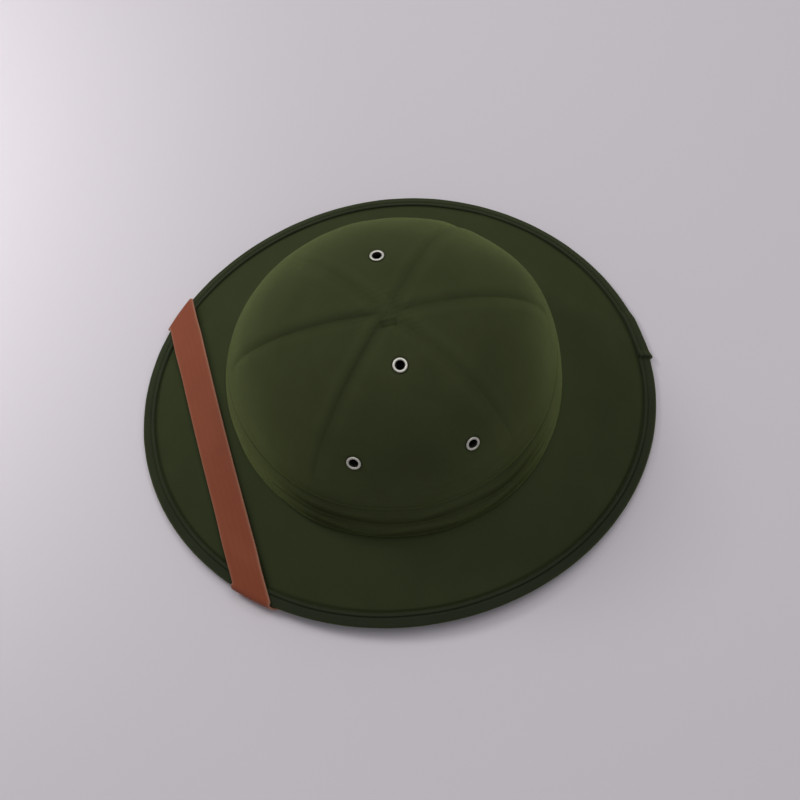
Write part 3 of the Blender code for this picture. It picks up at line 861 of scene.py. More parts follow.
@dataclass(frozen=True)
class Eyelets:
    """The six ventilation eyelets, and the holes that they need."""

    crown: CrownForm
    bore: float = 2.75 * MM
    barrel: float = 3.05 * MM
    flange: float = 4.2 * MM
    flange_height: float = 0.65 * MM
    flange_lift: float = -0.12 * MM
    back_depth: float = 4.3 * MM
    back_flange: float = 4.0 * MM
    back_height: float = 0.6 * MM
    hole: float = 3.35 * MM
    edge_turn: float = 0.12 * MM
    sides: int = 56
    places: tuple = (
        ("left_top", 88.9, 0.363), ("left_front", 64.9, 0.820), ("left_rear", 112.3, 0.823),
        ("right_top", -89.2, 0.352), ("right_front", -64.9, 0.878),
        ("right_rear", -112.3, 0.878))

    def seats(self) -> dict[str, tuple[Array, Array]]:
        """The middle and the axis of each eyelet, by its name."""
        return {f"eyelet_{name}": (self.crown.surface(angle, share),
                                   self.crown.normal(angle, share))
                for name, angle, share in self.places}

    def holes(self) -> list[Hole]:
        """The holes through cloth and shell."""
        return [Hole(centre, axis, self.hole) for centre, axis in self.seats().values()]

    def profile(self) -> Array:
        """The closed section: a rounded flange, the bore, a rolled back and the barrel.

        The flange's top is half an oval from its rim to the bore's lip.
        """
        cosine, sine = arc(0.0, 180.0, 15)
        top = vectors((self.flange + self.bore + (self.flange - self.bore) * cosine) / 2.0,
                      self.flange_lift + self.edge_turn
                      + (self.flange_height - self.edge_turn) * sine ** 0.8)
        cosine, sine = arc(0.0, 180.0, 9)
        low = vectors((self.back_flange + self.bore - (self.back_flange - self.bore) * cosine)
                      / 2.0, -self.back_depth - self.back_height * sine)
        under = np.array([(self.barrel, -self.back_depth), (self.barrel, self.flange_lift),
                          (self.flange - 0.25 * MM, self.flange_lift)])
        return np.concatenate([top, low, under])

    def build(self, finish: MetalFinish) -> None:
        """Make the six eyelets."""
        material = finish.material()
        profile = self.profile()
        # painted shade: the bore's wall below its lip is painted near black
        bore = smooth((self.bore + 0.25 * MM - profile[:, 0]) / (0.25 * MM))
        shade = bore * smooth((0.35 * MM - profile[:, 1]) / (0.5 * MM))
        for name, (centre, axis) in self.seats().items():
            body = revolved(profile, shade, self.sides, centre, axis)
            make_piece(f"{name}_ring", body, material, (name,), 60.0)


@dataclass(frozen=True)
class Seam:
    """A seam of the crown, from the top to the foot.

    Attributes:
        angle: The seam's angle near the top.
        drift: How far it drifts round by its foot.
        depth: The depth of the valley along it.
        before: How far the valley reaches on the side of smaller angles.
        after: How far it reaches on the side of larger angles.
        dark: How much painted shade darkens the cloth in the valley near the top.
        fade: The share of the crown's radius where the seam has become half as strong.
    """

    angle: float
    drift: float
    depth: float
    before: float
    after: float
    dark: float
    fade: float = 1.2

    def angle_at(self, share: Number, power: float) -> Array:
        """The seam's angle at a share: its angle plus drift times share to a power."""
        return self.angle + self.drift * np.power(share, power)

    def strength(self, share: Array) -> Array:
        """How strong the seam is: full at the top and weaker past its fade."""
        return 0.25 + 0.75 * (1.0 - smooth((share - self.fade + 0.25) / 0.5))

    def relief(self, distance: Array, reach: float, share: Array) -> Array:
        """The cloth's lift beside the seam: a valley, then a low swell of the folded hem."""
        valley = -self.depth * np.exp(-(distance / reach) ** 1.5)
        swell = 0.15 * self.depth * hump(distance - 2.4 * reach, 1.1 * reach)
        return (valley + swell) * self.strength(share)

    def shade(self, distance: Array, reach: float, share: Array) -> Array:
        """How much painted shade darkens the cloth beside the seam."""
        return self.dark * self.strength(share) * np.exp(-(distance / reach) ** 1.4)


@dataclass(frozen=True)
class CrownCloth:
    """The six gores of the crown's cloth."""

    crown: CrownForm
    eyelets: Eyelets
    cloth: float = 1.0 * MM
    gap: float = 0.02 * MM
    tip: float = 0.25 * MM
    foot_height: float = 32.6 * MM
    rows: int = 128
    cell: float = 1.25 * MM
    drift_power: float = 2.5
    band_top: float = 77.6 * MM
    band_sink: float = 0.9 * MM
    band_sink_over: float = 5.0 * MM
    centre_x: float = 4.0 * MM
    centre_y: float = -2.0 * MM
    tuck_x: float = 10.4 * MM
    tuck_y: float = -2.6 * MM
    tuck_lift: float = 0.5 * MM
    tuck_shade: float = 0.36
    slack: float = 0.10 * MM
    eyelet_pull: float = 0.3 * MM
    # the next line sets the painted shadow round each eyelet's flange
    eyelet_shade: float = 0.6
    # paler bands along the hems beside the seams
    hem_lightening: float = 0.05
    hem_at: float = 6.5 * MM
    names: tuple = ("front_left", "left", "rear_left", "rear_right", "right", "front_right")
    seams: tuple = (
        Seam(0.0, -7.0, 0.7 * MM, 3.4 * MM, 2.4 * MM, 0.40),
        Seam(51.5, -1.5, 0.7 * MM, 1.9 * MM, 2.6 * MM, 0.34, 0.66),
        Seam(127.5, 0.0, 0.22 * MM, 2.2 * MM, 2.4 * MM, 0.06, 0.9),
        Seam(180.0, 5.0, 0.7 * MM, 3.0 * MM, 3.2 * MM, 0.24),
        Seam(232.5, 0.0, 0.7 * MM, 3.6 * MM, 3.6 * MM, 0.15),
        Seam(308.5, 1.5, 0.2 * MM, 2.0 * MM, 2.4 * MM, 0.05, 0.5),
        Seam(360.0, -7.0, 0.7 * MM, 3.4 * MM, 2.4 * MM, 0.40),
    )

    def place(self, angle: Array, share: Array) -> tuple[Array, Array]:
        """The bearing and the share of points of a gore, whose top lies off the middle.

        The plan place moves by the seams' centre times (1 - share) squared.
        """
        turn = np.radians(angle)
        fade = (1.0 - share) ** 2
        x = share * np.sin(turn) + self.centre_x * fade / self.crown.half_width
        y = -share * np.cos(turn) + self.centre_y * fade / self.crown.half_length
        return np.degrees(np.arctan2(x, -y)), np.minimum(1.0, np.hypot(x, y))

    def tuck(self, points: Array) -> tuple[Array, Array]:
        """The small folded tuck by the seams' meeting: its lift and its painted shade.

        It is a flat fold, 10 mm from front to rear and 4 mm across, with a crisp edge
        on its lower side and its rear end.
        """
        along = points[..., 1] - self.tuck_y
        across = points[..., 0] - self.tuck_x
        reach = smooth((along + 8.0 * MM) / (5.0 * MM)) * smooth((3.8 * MM - along) / (0.5 * MM))
        breadth = (smooth((across + 4.0 * MM) / (3.0 * MM))
                   * smooth((2.2 * MM - across) / (0.5 * MM)))
        shadow = (smooth((across + 3.2 * MM) / (2.0 * MM))
                  * smooth((3.4 * MM - across) / (1.6 * MM)))
        return self.tuck_lift * reach * breadth, self.tuck_shade * reach * shadow

    def unevenness(self, angle: Array, points: Array) -> Array:
        """The cloth's lift: its fullness, slight slackness and pulls round the eyelets."""
        slack = ripple(points[..., 0], points[..., 1] + 0.6 * points[..., 2], 34.0 * MM, 5)
        creases = ripple(points[..., 0] * 2.2, points[..., 1], 9.0 * MM, 11)
        from_top = np.hypot(points[..., 0] - self.centre_x, points[..., 1] - self.centre_y)
        near_top = smooth((30.0 * MM - from_top) / (22.0 * MM)) * smooth(from_top / (4.0 * MM))
        lift = self.slack * (slack + creases * near_top)
        lift = lift + self.crown.fullness(angle, points[..., 2])
        for hole in self.eyelets.holes():
            _, length = hole.offset(points)
            lift = lift * (1.0 - hump(np.maximum(length - 4.6 * MM, 0.0), 4.5 * MM))
            lift = lift - self.eyelet_pull * hump(np.maximum(length - 3.6 * MM, 0.0), 2.4 * MM)
        return lift

    def seam_shade(self, bearing: Array, share: Array) -> Array:
        """How much painted shade darkens the cloth beside the seams, for points of the crown."""
        total = np.zeros(np.broadcast(bearing, share).shape)
        for seam in self.seams[:-1]:
            turn = apart(bearing, seam.angle_at(share, self.drift_power))
            away = np.radians(np.abs(turn)) * self.crown.half_length
            reach = np.where(turn > 0.0, seam.after, seam.before)
            total = total + seam.shade(away, reach, share)
        return total

    def gore(self, index: int) -> Body:
        """One gore: a wall whose outer face carries the seams' relief and the pulls."""
        low = self.tip / self.crown.half_width
        foot = float(self.crown.share_at(self.foot_height))
        shares, down = self.crown.paced_shares(low, foot, self.rows, 0.3)
        first, second = self.seams[index], self.seams[index + 1]
        broad = math.radians(second.angle + second.drift - first.angle - first.drift)
        columns = int(broad * self.crown.half_length / self.cell) + 1
        even = np.linspace(0.0, 1.0, columns)
        eased = 0.55 * even + 0.45 * (0.5 - 0.5 * np.cos(math.pi * even))
        share = np.broadcast_to(shares[:, None], (self.rows, columns))
        start = first.angle_at(share, self.drift_power)
        angles = second.angle_at(share, self.drift_power) - start
        width = np.radians(angles) * share * self.crown.half_length
        inset = self.gap / width
        across = inset + (1.0 - 2.0 * inset) * eased
        bearing, spread = self.place(start + angles * across, share)
        base = self.crown.surface(bearing, spread)
        near, far = across * width, (1.0 - across) * width
        calm = smooth(share * self.crown.half_width / (9.0 * MM))
        relief = (first.relief(near, first.after, share)
                  + second.relief(far, second.before, share))
        relief = relief * calm * smooth((base[..., 2] - self.band_top) / (9.0 * MM))
        tuck_lift, tuck_shade = self.tuck(base)
        lift = relief + tuck_lift + self.unevenness(bearing, base)
        hidden = smooth((self.band_top - base[..., 2]) / self.band_sink_over)
        lift = lift - self.band_sink * hidden
        outer = self.crown.surface(bearing, spread, lift)
        inner = self.crown.surface(bearing, spread, np.minimum(lift, 0.0) * 0.3 - self.cloth)
        # painted shade in the seams' valleys
        shade = calm * (first.shade(near, first.after, share)
                        + second.shade(far, second.before, share))
        # the tuck adds its painted shade
        shade = np.clip(shade + tuck_shade, 0.0, 0.9)
        kept = np.ones((self.rows - 1, columns), bool)
        kept[:, -1] = False
        for hole in self.eyelets.holes():
            hole.cut(kept, (outer, inner))
            # painted shadow: a dark ring in the cloth just outside each eyelet's flange
            beyond = np.maximum(hole.offset(base)[1] - 4.3 * MM, 0.0)
            shade = np.maximum(shade, self.eyelet_shade * hump(beyond, 0.7 * MM))
        pattern = vectors(closed((across - 0.5) * width), down[:, None])
        # paler bands along the folded hems, to each side of the seams
        lightening = sum(hump(away - self.hem_at, 2.5 * MM) for away in (near, far))
        return wall(outer, inner, kept, pattern,
                    {"shade": shade, "lightening": self.hem_lightening * calm * lightening})

    def build(self, finish: ClothFinish) -> None:
        """Make the six gores."""
        material = finish.material()
        for index, name in enumerate(self.names):
            make_piece(f"crown_gore_{name}", self.gore(index), material,
                       (f"crown_panel_{name}",), 70.0)


@dataclass(frozen=True)
class CrownBand:
    """The band of soft folded cloth round the foot of the crown."""

    crown: CrownForm
    brim: BrimForm
    gores: CrownCloth
    height: float = 47.0 * MM
    seat: float = -0.55 * MM
    edge: float = 0.03 * MM
    thick: float = 1.2 * MM
    fold: float = 1.7 * MM
    steps: int = 600
    foot_gap: float = 0.3 * MM
    shares: tuple = (0.0, 0.33, 0.67, 1.0)
    depths: tuple = (1.0, 0.95, 0.3)
    # painted shade in the creases, for each fold
    darks: tuple = (1.0, 0.85, 0.36)
    dark_reaches: tuple = (0.52, 0.5, 0.24)
    # painted shade on the band's sides, and a painted highlight on its front and rear
    turned: float = 0.42
    toned: float = 0.05
    belly_at: float = 0.24
    wander: float = 1.3 * MM
    rows: tuple = (26, 26, 24)

    def folds(self, angle: Array) -> tuple[Array, Array, Array, Array]:
        """The section's outer side: heights over the foot, lifts, painted shades and painted
        highlights.

        Each fold bellies out between its creases, most at a quarter of its height, and its
        lower part carries painted shade towards the crease below.

        Args:
            angle: The angles round the helmet.

        Returns:
            Four arrays, section points by angles.
        """
        heights, lifts, shades, painted_highlights = [], [], [], []
        across = np.abs(np.sin(np.radians(angle)))
        side = 0.06 + 0.94 * smooth((across - 0.5) / 0.35)
        dusk = smooth((across - 0.05) / 0.35) * smooth((0.97 - across) / 0.17)
        last = len(self.rows) - 1
        for number, count in enumerate(self.rows):
            below, above = ((self.wander * round_ripple(angle, (2, 3, 5, 8, 13), 20 + step)
                             if 0 < step <= last else 0.0 * angle)
                            for step in (number, number + 1))
            start = self.height * self.shares[number] + below
            stop = self.height * self.shares[number + 1] + above
            face = np.linspace(0.0, 1.0, count)[:, None] ** 1.2
            uneven = 1.0 + 0.3 * round_ripple(angle, (3, 5, 9, 16), 40 + number)
            size = self.fold * self.depths[number] * side * uneven
            belly = self.belly_at
            swell = np.where(face < belly, np.sin(math.pi * face / belly / 2.0),
                             np.cos(math.pi * (face - belly) / (1.0 - belly) / 2.0))
            wave = 0.10 * np.sin(3.0 * math.pi * face
                                 + 3.0 * round_ripple(angle, (4, 7, 11), 60 + number))
            height = start + (stop - start) * face
            heights.append(height)
            root = self.edge + self.thick * (1.0 - height / self.height)
            lifts.append(root + size * (swell + wave * np.sin(math.pi * face)))
            # painted shade: each fold's lower part darkens towards the crease below, and the sides
            # darken more
            spread = self.dark_reaches[number]
            crease = side * self.darks[number] * (1.0 - smooth(face / spread - 0.5))
            top = smooth((1.0 - height / self.height) / 0.3)
            shades.append(crease + self.turned * dusk * top)
            # painted highlight: the band's front and rear are lighter
            painted_highlights.append((1.0 - side) * self.toned + 0.0 * height)
        return tuple(np.concatenate(part) for part in (heights, lifts, shades, painted_highlights))

    def build(self, finish: ClothFinish) -> None:
        """Make the band."""
        angle = whole_turn(self.steps)
        heights, lifts, shades, painted_highlights = self.folds(angle)
        heights = np.concatenate([heights, heights[-1:] * np.linspace(1.0, 0.0, 12)[:, None]])
        rear = ((0, 12), (0, 0))
        lifts = np.pad(lifts, rear, constant_values=self.seat)
        shades, painted_highlights = np.pad(shades, rear), np.pad(painted_highlights, rear)
        level = self.crown.foot + np.maximum(heights, 0.0)
        bearing, share = angle + 0.0 * heights, self.crown.share_at(level)
        follow = smooth((heights / self.height - 0.6) / 0.4)
        base = self.crown.surface(bearing, share)
        full = self.crown.fullness(bearing, level)
        lifts = lifts + full + follow * (self.gores.unevenness(bearing, base) - full)
        # the seams' painted shade runs down onto the band's top
        shades = shades + follow * self.gores.seam_shade(bearing, share)
        points = self.crown.surface(bearing, share, lifts)
        reach = self.brim.share_at(bearing, lifts)
        low = (self.brim.surface(bearing, reach, self.brim.cover_top)[..., 2]
               + self.foot_gap)
        near_foot = smooth((6.0 * MM - heights) / (6.0 * MM))
        points[..., 2] = np.maximum(points[..., 2] + (low - self.crown.foot) * near_foot, low)
        around = np.arange(self.steps + 1) * math.tau * self.crown.half_length / self.steps
        pattern = vectors(around[:, None], lengths(closed(points[:, 0][None])[0])[None, :])
        marks = {"shade": np.clip(shades, 0.0, 1.0).T, "lightening": painted_highlights.T}
        body = tube(np.swapaxes(points, 0, 1), pattern, marks)
        make_piece("pleated_band", body, finish.material(),
                   ("crown_band",), 80.0)


@dataclass(frozen=True)
class RimTape:
    """The tape folded over the rim, its lapped end and its two rows of stitches."""

    brim: BrimForm
    thickness: float = 0.9 * MM
    width: float = 9.2 * MM
    groove: float = 6.9 * MM
    groove_depth: float = 0.6 * MM
    steps: int = 900
    lap_start: float = 193.0
    lap_end: float = 178.6
    lap_ramp: float = 3.0
    lap_cut: float = 0.25
    lap_step: float = 0.9 * MM
    stitch_pitch: float = 3.3 * MM
    stitch_length: float = 2.3 * MM
    stitch_radius: float = 0.2 * MM
    stitch_arch: float = 0.10 * MM
    # painted shade in the groove, along the inner edge, on the lower bend and at the lap's end,
    # then the paler rim top and tape edge
    groove_shade: float = 0.72
    inner_shade: float = 0.45
    outer_shade: float = 0.66
    lap_shade: float = 0.4
    ridge_lightening: float = 0.10
    flap_lightening: float = 0.12
    mean_radius: float = 155.0 * MM

    @property
    def inset(self) -> float:
        """How far in from the rim's middle the groove lies."""
        return self.groove - self.brim.rim_radius

    @staticmethod
    def nearness(angle: Array) -> Array:
        """How strong the groove is: full on the left, and weak on the right."""
        return 0.1 + 0.9 * smooth(np.sin(np.radians(angle)) + 0.2)

    def lap(self, angle: Array) -> Array:
        """The lap's lift: it rises, dips along its straight run and flares at its cut end."""
        behind = (self.lap_start - angle) % 360.0
        whole = self.lap_start - self.lap_end
        part = np.clip(behind / whole, 0.0, 1.0)
        over = behind <= whole + self.lap_cut / 2.0
        body = smooth(behind / self.lap_ramp) * (1.0 - 0.45 * np.sin(math.pi * part) ** 2)
        flare = 1.35 * smooth((part - 0.84) / 0.16)
        return np.where(over, self.lap_step * (body + flare), 0.0)

    def section(self) -> tuple[Array, Array, Array]:
        """The tape's closed section.

        Returns:
            For each point the distance in from the rim's middle, the turn round the rim
            and the radius. Points with a distance over 0 lie on the flat flaps.
        """
        radius = self.brim.rim_radius
        reach, groove = self.width - radius, self.inset
        flap = np.concatenate([np.linspace(reach, groove + 0.9 * MM, 7),
                               groove + np.linspace(0.7, -0.7, 9) * MM,
                               np.linspace(groove - 1.0 * MM, 0.2 * MM, 7)])
        dip = 0.45 * MM * smooth(1.0 - (reach - flap) / (0.8 * MM))
        puff = 0.22 * MM * hump(flap - groove + 1.6 * MM, 1.1 * MM)
        bend = np.linspace(90.0, -90.0, 25)
        inside = np.linspace(-90.0, 90.0, 13)[1:-1]
        back = np.array((0.0, 0.5, 1.0)) * reach
        inner = radius - self.thickness
        face = radius - dip + puff
        parts = ((flap, 90.0, face), (0.0, bend, radius), (flap[::-1], -90.0, face[::-1]),
                 (back[::-1], -90.0, inner), (0.0, inside, inner), (back, 90.0, inner))
        return tuple(np.concatenate([vectors(*part) for part in parts]).T)

    def build_tape(self, finish: ClothFinish) -> None:
        """Make the tape: the section carried round the rim, flat where it rests."""
        near_cut = self.lap_end + np.array((-0.35, -0.13, 0.13, 0.4))
        angle = np.sort(np.concatenate([whole_turn(self.steps)[0], near_cut]))[:, None]
        distance, turn, radius = (part[None, :] for part in self.section())
        lap = self.lap(angle)
        facing = np.clip(np.sin(np.radians(turn)) * 0.8 + 0.75, 0.0, 1.0)
        outer_side = radius > self.brim.rim_radius - self.thickness * 0.7
        uneven = 0.07 * MM * round_ripple(angle, (23, 31, 47, 61), 71)
        near = self.nearness(angle)
        uneven = uneven - self.groove_depth * near * hump(distance - self.inset, 0.42 * MM)
        grown = radius + np.where(outer_side, lap * facing + uneven * (turn > 0.0), 0.0)
        wander = 0.25 * MM * round_ripple(angle, (5, 9, 14, 22), 72) + 0.2 * MM - 0.5 * MM * near
        inward = distance + wander * smooth(distance / (4.0 * MM))
        share = 1.0 - self.brim.share_at(angle + 0.0 * inward, inward)
        weight = np.sin(np.radians(turn))
        level = turn - self.brim.slope(angle) * np.abs(weight) * (np.abs(turn) > 60.0)
        points = self.brim.rim_turn(angle, grown, level, share)
        lowest = self.brim.outer(angle)[..., 2] - self.brim.lowest
        points[..., 2] = np.maximum(points[..., 2], lowest)
        from_edge = distance - self.width + self.brim.rim_radius
        # painted shade in the stitched groove and on the rim's lower bend, and painted shadow along
        # the tape's inner edge
        shade = (self.groove_shade * near * hump(distance - self.inset, 0.5 * MM)
                 + self.inner_shade * smooth((from_edge + 0.5 * MM) / (0.5 * MM))
                 + self.outer_shade * smooth((40.0 - turn) / 40.0)) * outer_side
        # painted shadow at the lap's cut end
        shade = shade + self.lap_shade * hump(angle - self.lap_end, 0.3)
        # paler along the rim's rounded top, and on the tape 1.2 mm from its inner edge
        lightening = (self.ridge_lightening * hump(turn - 20.0, 40.0) * (distance == 0.0)
                + self.flap_lightening * hump(from_edge + 1.2 * MM, 0.6 * MM)) * outer_side
        along = np.append(angle[:, 0], angle[0, 0] + 360.0)
        pattern = vectors((np.radians(along) * self.mean_radius)[:, None],
                          lengths(closed(points[:1])[0])[None, :])
        flat = np.zeros(points.shape[:2])
        marks = {"shade": np.clip(shade + flat, 0.0, 1.0), "lightening": lightening + flat}
        make_piece("rim_tape", tube(points, pattern, marks), finish.material(),
                   ("rim_binding",), 80.0)

    def build_stitches(self, finish: ClothFinish) -> None:
        """Make the two rows of stitches, one capsule for each stitch.

        A capsule is a few rings round a short line, of radius times the sine of the turn
        from one end to the other.
        """
        fine = np.linspace(-180.0, 180.0, 4001)
        share = 1.0 - self.brim.share_at(fine, self.inset)
        line = self.brim.rim_turn(fine, self.brim.rim_radius, 90.0 - self.brim.slope(fine), share)
        length = lengths(line)
        count = int(length[-1] / self.stitch_pitch)
        start = np.arange(count) * length[-1] / count
        turns = np.linspace(0.0, math.pi, 6)
        along = start[:, None] + self.stitch_length * (0.5 - 0.5 * np.cos(turns))[None, :]
        angle = np.interp(along % length[-1], length, fine)
        thick = self.stitch_radius * (0.25 + 0.75 * np.sin(turns)[None, :])
        arch = self.stitch_arch * np.sin(turns)[None, :]
        _, out, up = self.brim.axes(angle, 1.0)
        cosine, sine = arc(0.0, 300.0, 6)
        ring = out[:, :, None] * cosine[:, None] + up[:, :, None] * sine[:, None]
        rows = []
        for side in (1.0, -1.0):
            depth = self.groove_depth * self.nearness(angle) * (side > 0.0)
            centre = self.brim.rim_turn(
                angle, self.brim.rim_radius - depth + 0.08 * MM + arch,
                side * 90.0 - self.brim.slope(angle),
                1.0 - self.brim.share_at(angle, self.inset))
            rows.append(centre[:, :, None] + ring * thick[:, :, None, None])
        make_piece("rim_stitches", self._capsules(np.concatenate(rows)), finish.material(),
                   (), 80.0)

    @staticmethod
    def _capsules(points: Array) -> Body:
        """Close many short tubes, whose points are stitch by ring by point of a ring."""
        count, height, width = points.shape[:3]
        row, column = grid_squares(np.ones((height - 1, width), bool))
        squares = row * width + column % width
        ends = np.stack([np.arange(width)[::-1], np.arange(width) + (height - 1) * width])
        shift = (np.arange(count) * height * width)[:, None, None]
        faces = [(squares[None] + shift).reshape(-1, 4), (ends[None] + shift).reshape(-1, width)]
        spots = points.reshape(-1, 3)[:, :2]
        size = count * height * width
        return Body(points.reshape(-1, 3), faces, [spots[group] for group in faces],
                    {"shade": np.zeros(size), "lightening": np.zeros(size)})


@dataclass(frozen=True)
class StrapEnd:
    """One end of the strap: where it folds round the rim and how it runs to its stud."""

    side: float
    fold_angle: float
    lean: float
    half: float
    seat_radius: float
    pace: float
    drift_power: float = 2.5

    def rim_angle(self, turned: Number, width: Number) -> Array:
        """The rim's angle below the strap, by the share of its half turn and the place across."""
        drift = np.asarray(turned) ** self.drift_power
        advance = math.pi * self.seat_radius * drift / math.tan(self.lean) / self.pace
        return self.fold_angle + self.side * (advance + self.half * np.asarray(width))


@dataclass(frozen=True)
class ChinStrap:
    """The leather strap: over the front brim, round the rim and back to its studs."""

    brim: BrimForm
    width: float = 18.8 * MM
    thickness: float = 1.5 * MM
    gap: float = 0.35 * MM
    fold_left: float = 47.3
    fold_right: float = -37.5
    slack: float = 0.3 * MM
    tape_flat: float = 6.15 * MM
    edge_round: float = 0.42 * MM
    sway: float = 0.16 * MM
    # painted shade on the strap's inner face, which lies against the brim
    inner_shade: float = 0.25

    def rim_ends(self) -> Array:
        """Where the strap's middle crosses the rim on the left and on the right, in the plan."""
        return self.brim.outer(np.array((self.fold_left, self.fold_right)))[:, :2]

    def end(self, side: float, angle: float) -> StrapEnd:
        """The end on one side: its lean to the rim and its breadth along the rim."""
        plan = self.brim.outer(np.array((angle - 1.0, angle + 1.0)))[:, :2]
        tangent = unit(plan[1] - plan[0])
        ends = self.rim_ends()
        lean = math.acos(abs(float(tangent @ unit(ends[0] - ends[1]))))
        turn = math.radians(angle)
        radius = self.brim.rim_radius
        pace = math.radians(math.hypot((self.brim.half_width - radius) * math.cos(turn),
                                       (self.brim.half_length - radius) * math.sin(turn)))
        pace = pace * float(self.brim.fullness(angle))
        return StrapEnd(side, angle, lean, self.width / 2.0 / math.sin(lean) / pace,
                        radius + self.gap + self.thickness / 2.0, pace)

    def cover(self, points: Array) -> Array:
        """How closely the strap covers points of the brim, 1 below it and 0 away from it."""
        ends = self.rim_ends()
        along = unit(ends[1] - ends[0])
        offset = points[..., :2] - ends[0]
        across = np.abs(offset[..., 0] * along[1] - offset[..., 1] * along[0])
        return smooth((self.width / 2.0 + 3.6 * MM - across) / (3.2 * MM))

    def layer(self, plan: Array, depth: Array, above: bool) -> Array:
        """Points of the strap over or under the brim.

        Args:
            plan: Their places in the plan.
            depth: The share of the strap's thickness, from its inner face.
            above: Whether it lies over the brim.

        Returns:
            The points. The strap rises in a smooth step to clear the rim's tape.
        """
        angle, share = self.brim.place(plan)
        tape = self.brim.share_at(angle, self.tape_flat)
        over = smooth(((share - 1.0) / tape + 4.0) / 2.0)
        flat = self.brim.cover_top if above else self.slack + self.brim.shell_below
        seat = self.gap + flat + (self.brim.rim_radius - flat) * over
        way = 1.0 if above else -1.0
        return self.brim.surface(angle, share, way * (seat + self.thickness * depth))

    def section(self) -> tuple[Array, Array]:
        """The rounded section: the place across, -1 to 1, and the share of the thickness."""
        cosine, sine = arc(90.0, 0.0, 5)
        radius = self.edge_round
        half, thick = self.width / 2.0, self.thickness
        corner_w = (half - radius + radius * cosine) / half
        corner_d = (thick - radius + radius * sine) / thick
        face = np.linspace(-corner_w[0], corner_w[0], 13)[1:-1]
        side_d = 1.0 - corner_d
        width = np.concatenate([face, corner_w, corner_w[::-1], -face, -corner_w,
                                -corner_w[::-1]])
        depth = np.concatenate([np.ones(11), corner_d, side_d[::-1], np.zeros(11), side_d,
                                corner_d[::-1]])
        return width, depth

    def stations(self) -> tuple[Array, Array, Array]:
        """All sections of the strap from the right stud to the left one.

        Returns:
            The points, section by section, and for each point the place across and the
            share of the thickness.
        """
        width, depth = self.section()
        right, left = self.end(-1.0, self.fold_right), self.end(1.0, self.fold_left)
        start, end = (np.concatenate([self.fold(end, width, depth),
                                      self.below(end, width, depth)]) for end in (right, left))
        points = np.concatenate([start[::-1], self.above(right, left, width, depth), end])
        size = points.shape[:2]
        return points, np.broadcast_to(width, size), np.broadcast_to(depth, size)

    def above(self, right: StrapEnd, left: StrapEnd, width: Array, depth: Array) -> Array:
        """The run over the brim, straight in the plan from rim to rim."""
        first = self.brim.outer(right.rim_angle(0.0, width))[:, :2]
        last = self.brim.outer(left.rim_angle(0.0, width))[:, :2]
        part = np.linspace(0.0, 1.0, 130)[1:-1, None, None]
        plan = first + (last - first) * part
        lifted = self.layer(plan, np.broadcast_to(depth, plan.shape[:2]), True)
        sway = ripple(part[..., 0] * 200.0 * MM, np.broadcast_to(width, plan.shape[:2])
                      * 10.0 * MM, 38.0 * MM, 91)
        lifted[..., 2] += self.sway * (1.0 + sway) * np.sin(math.pi * part[..., 0])
        return lifted

    def fold(self, end: StrapEnd, width: Array, depth: Array) -> Array:
        """The fold round the rim, from above it to below it."""
        turned = np.linspace(0.0, 1.0, 26)[:, None]
        angle = end.rim_angle(turned, width)
        turn = 90.0 - self.brim.slope(angle) - 180.0 * turned
        radius = self.brim.rim_radius + self.gap + self.thickness * depth
        return self.brim.rim_turn(angle, radius, turn)

    def below(self, end: StrapEnd, width: Array, depth: Array) -> Array:
        """The run under the brim, straight back to the stud, with a rounded end."""
        stud = self.brim.stud(end.side * 90.0)[0][:2]
        middle = self.brim.outer(end.rim_angle(1.0, 0.0))[:2]
        heading = unit(stud - middle)
        sideways = np.array((heading[1], -heading[0])) * end.side * self.width / 2.0
        start = self.brim.outer(end.rim_angle(1.0, width))[:, :2]
        part = np.linspace(0.0, 1.0, 60)[1:, None, None]
        run = start + (stud + sideways * width[:, None] - start) * part
        cosine, sine = (part[1:, None, None] for part in arc(0.0, 82.0, 14))
        tail = stud + heading * self.width / 2.0 * sine + sideways * width[:, None] * cosine
        plan = np.concatenate([run, tail])
        return self.layer(plan, np.broadcast_to(depth, plan.shape[:2]), False)

    def build(self, finish: LeatherFinish) -> None:
        """Make the strap."""
        points, width, depth = self.stations()
        rim = hump((np.abs(width) - 1.0) * self.width / 2.0, 0.42 * MM)
        edge = np.clip(rim, 0.0, 1.0) * smooth((depth - 0.02) / 0.4)
        length = lengths(points.mean(axis=1))
        pattern = vectors(length[:, None], closed(width) * self.width / 2.0)
        # painted shade: the inner face darkens where the strap lies against the brim
        marks = {"edge": edge, "shade": self.inner_shade * (1.0 - smooth(depth / 0.2))}
        make_piece("leather_strap", tube(points, pattern, marks, loop=False),
                   finish.material(), ("chin_strap",), 60.0)
        LOG.info("strap length along its middle: %.1f mm", length[-1] / MM)


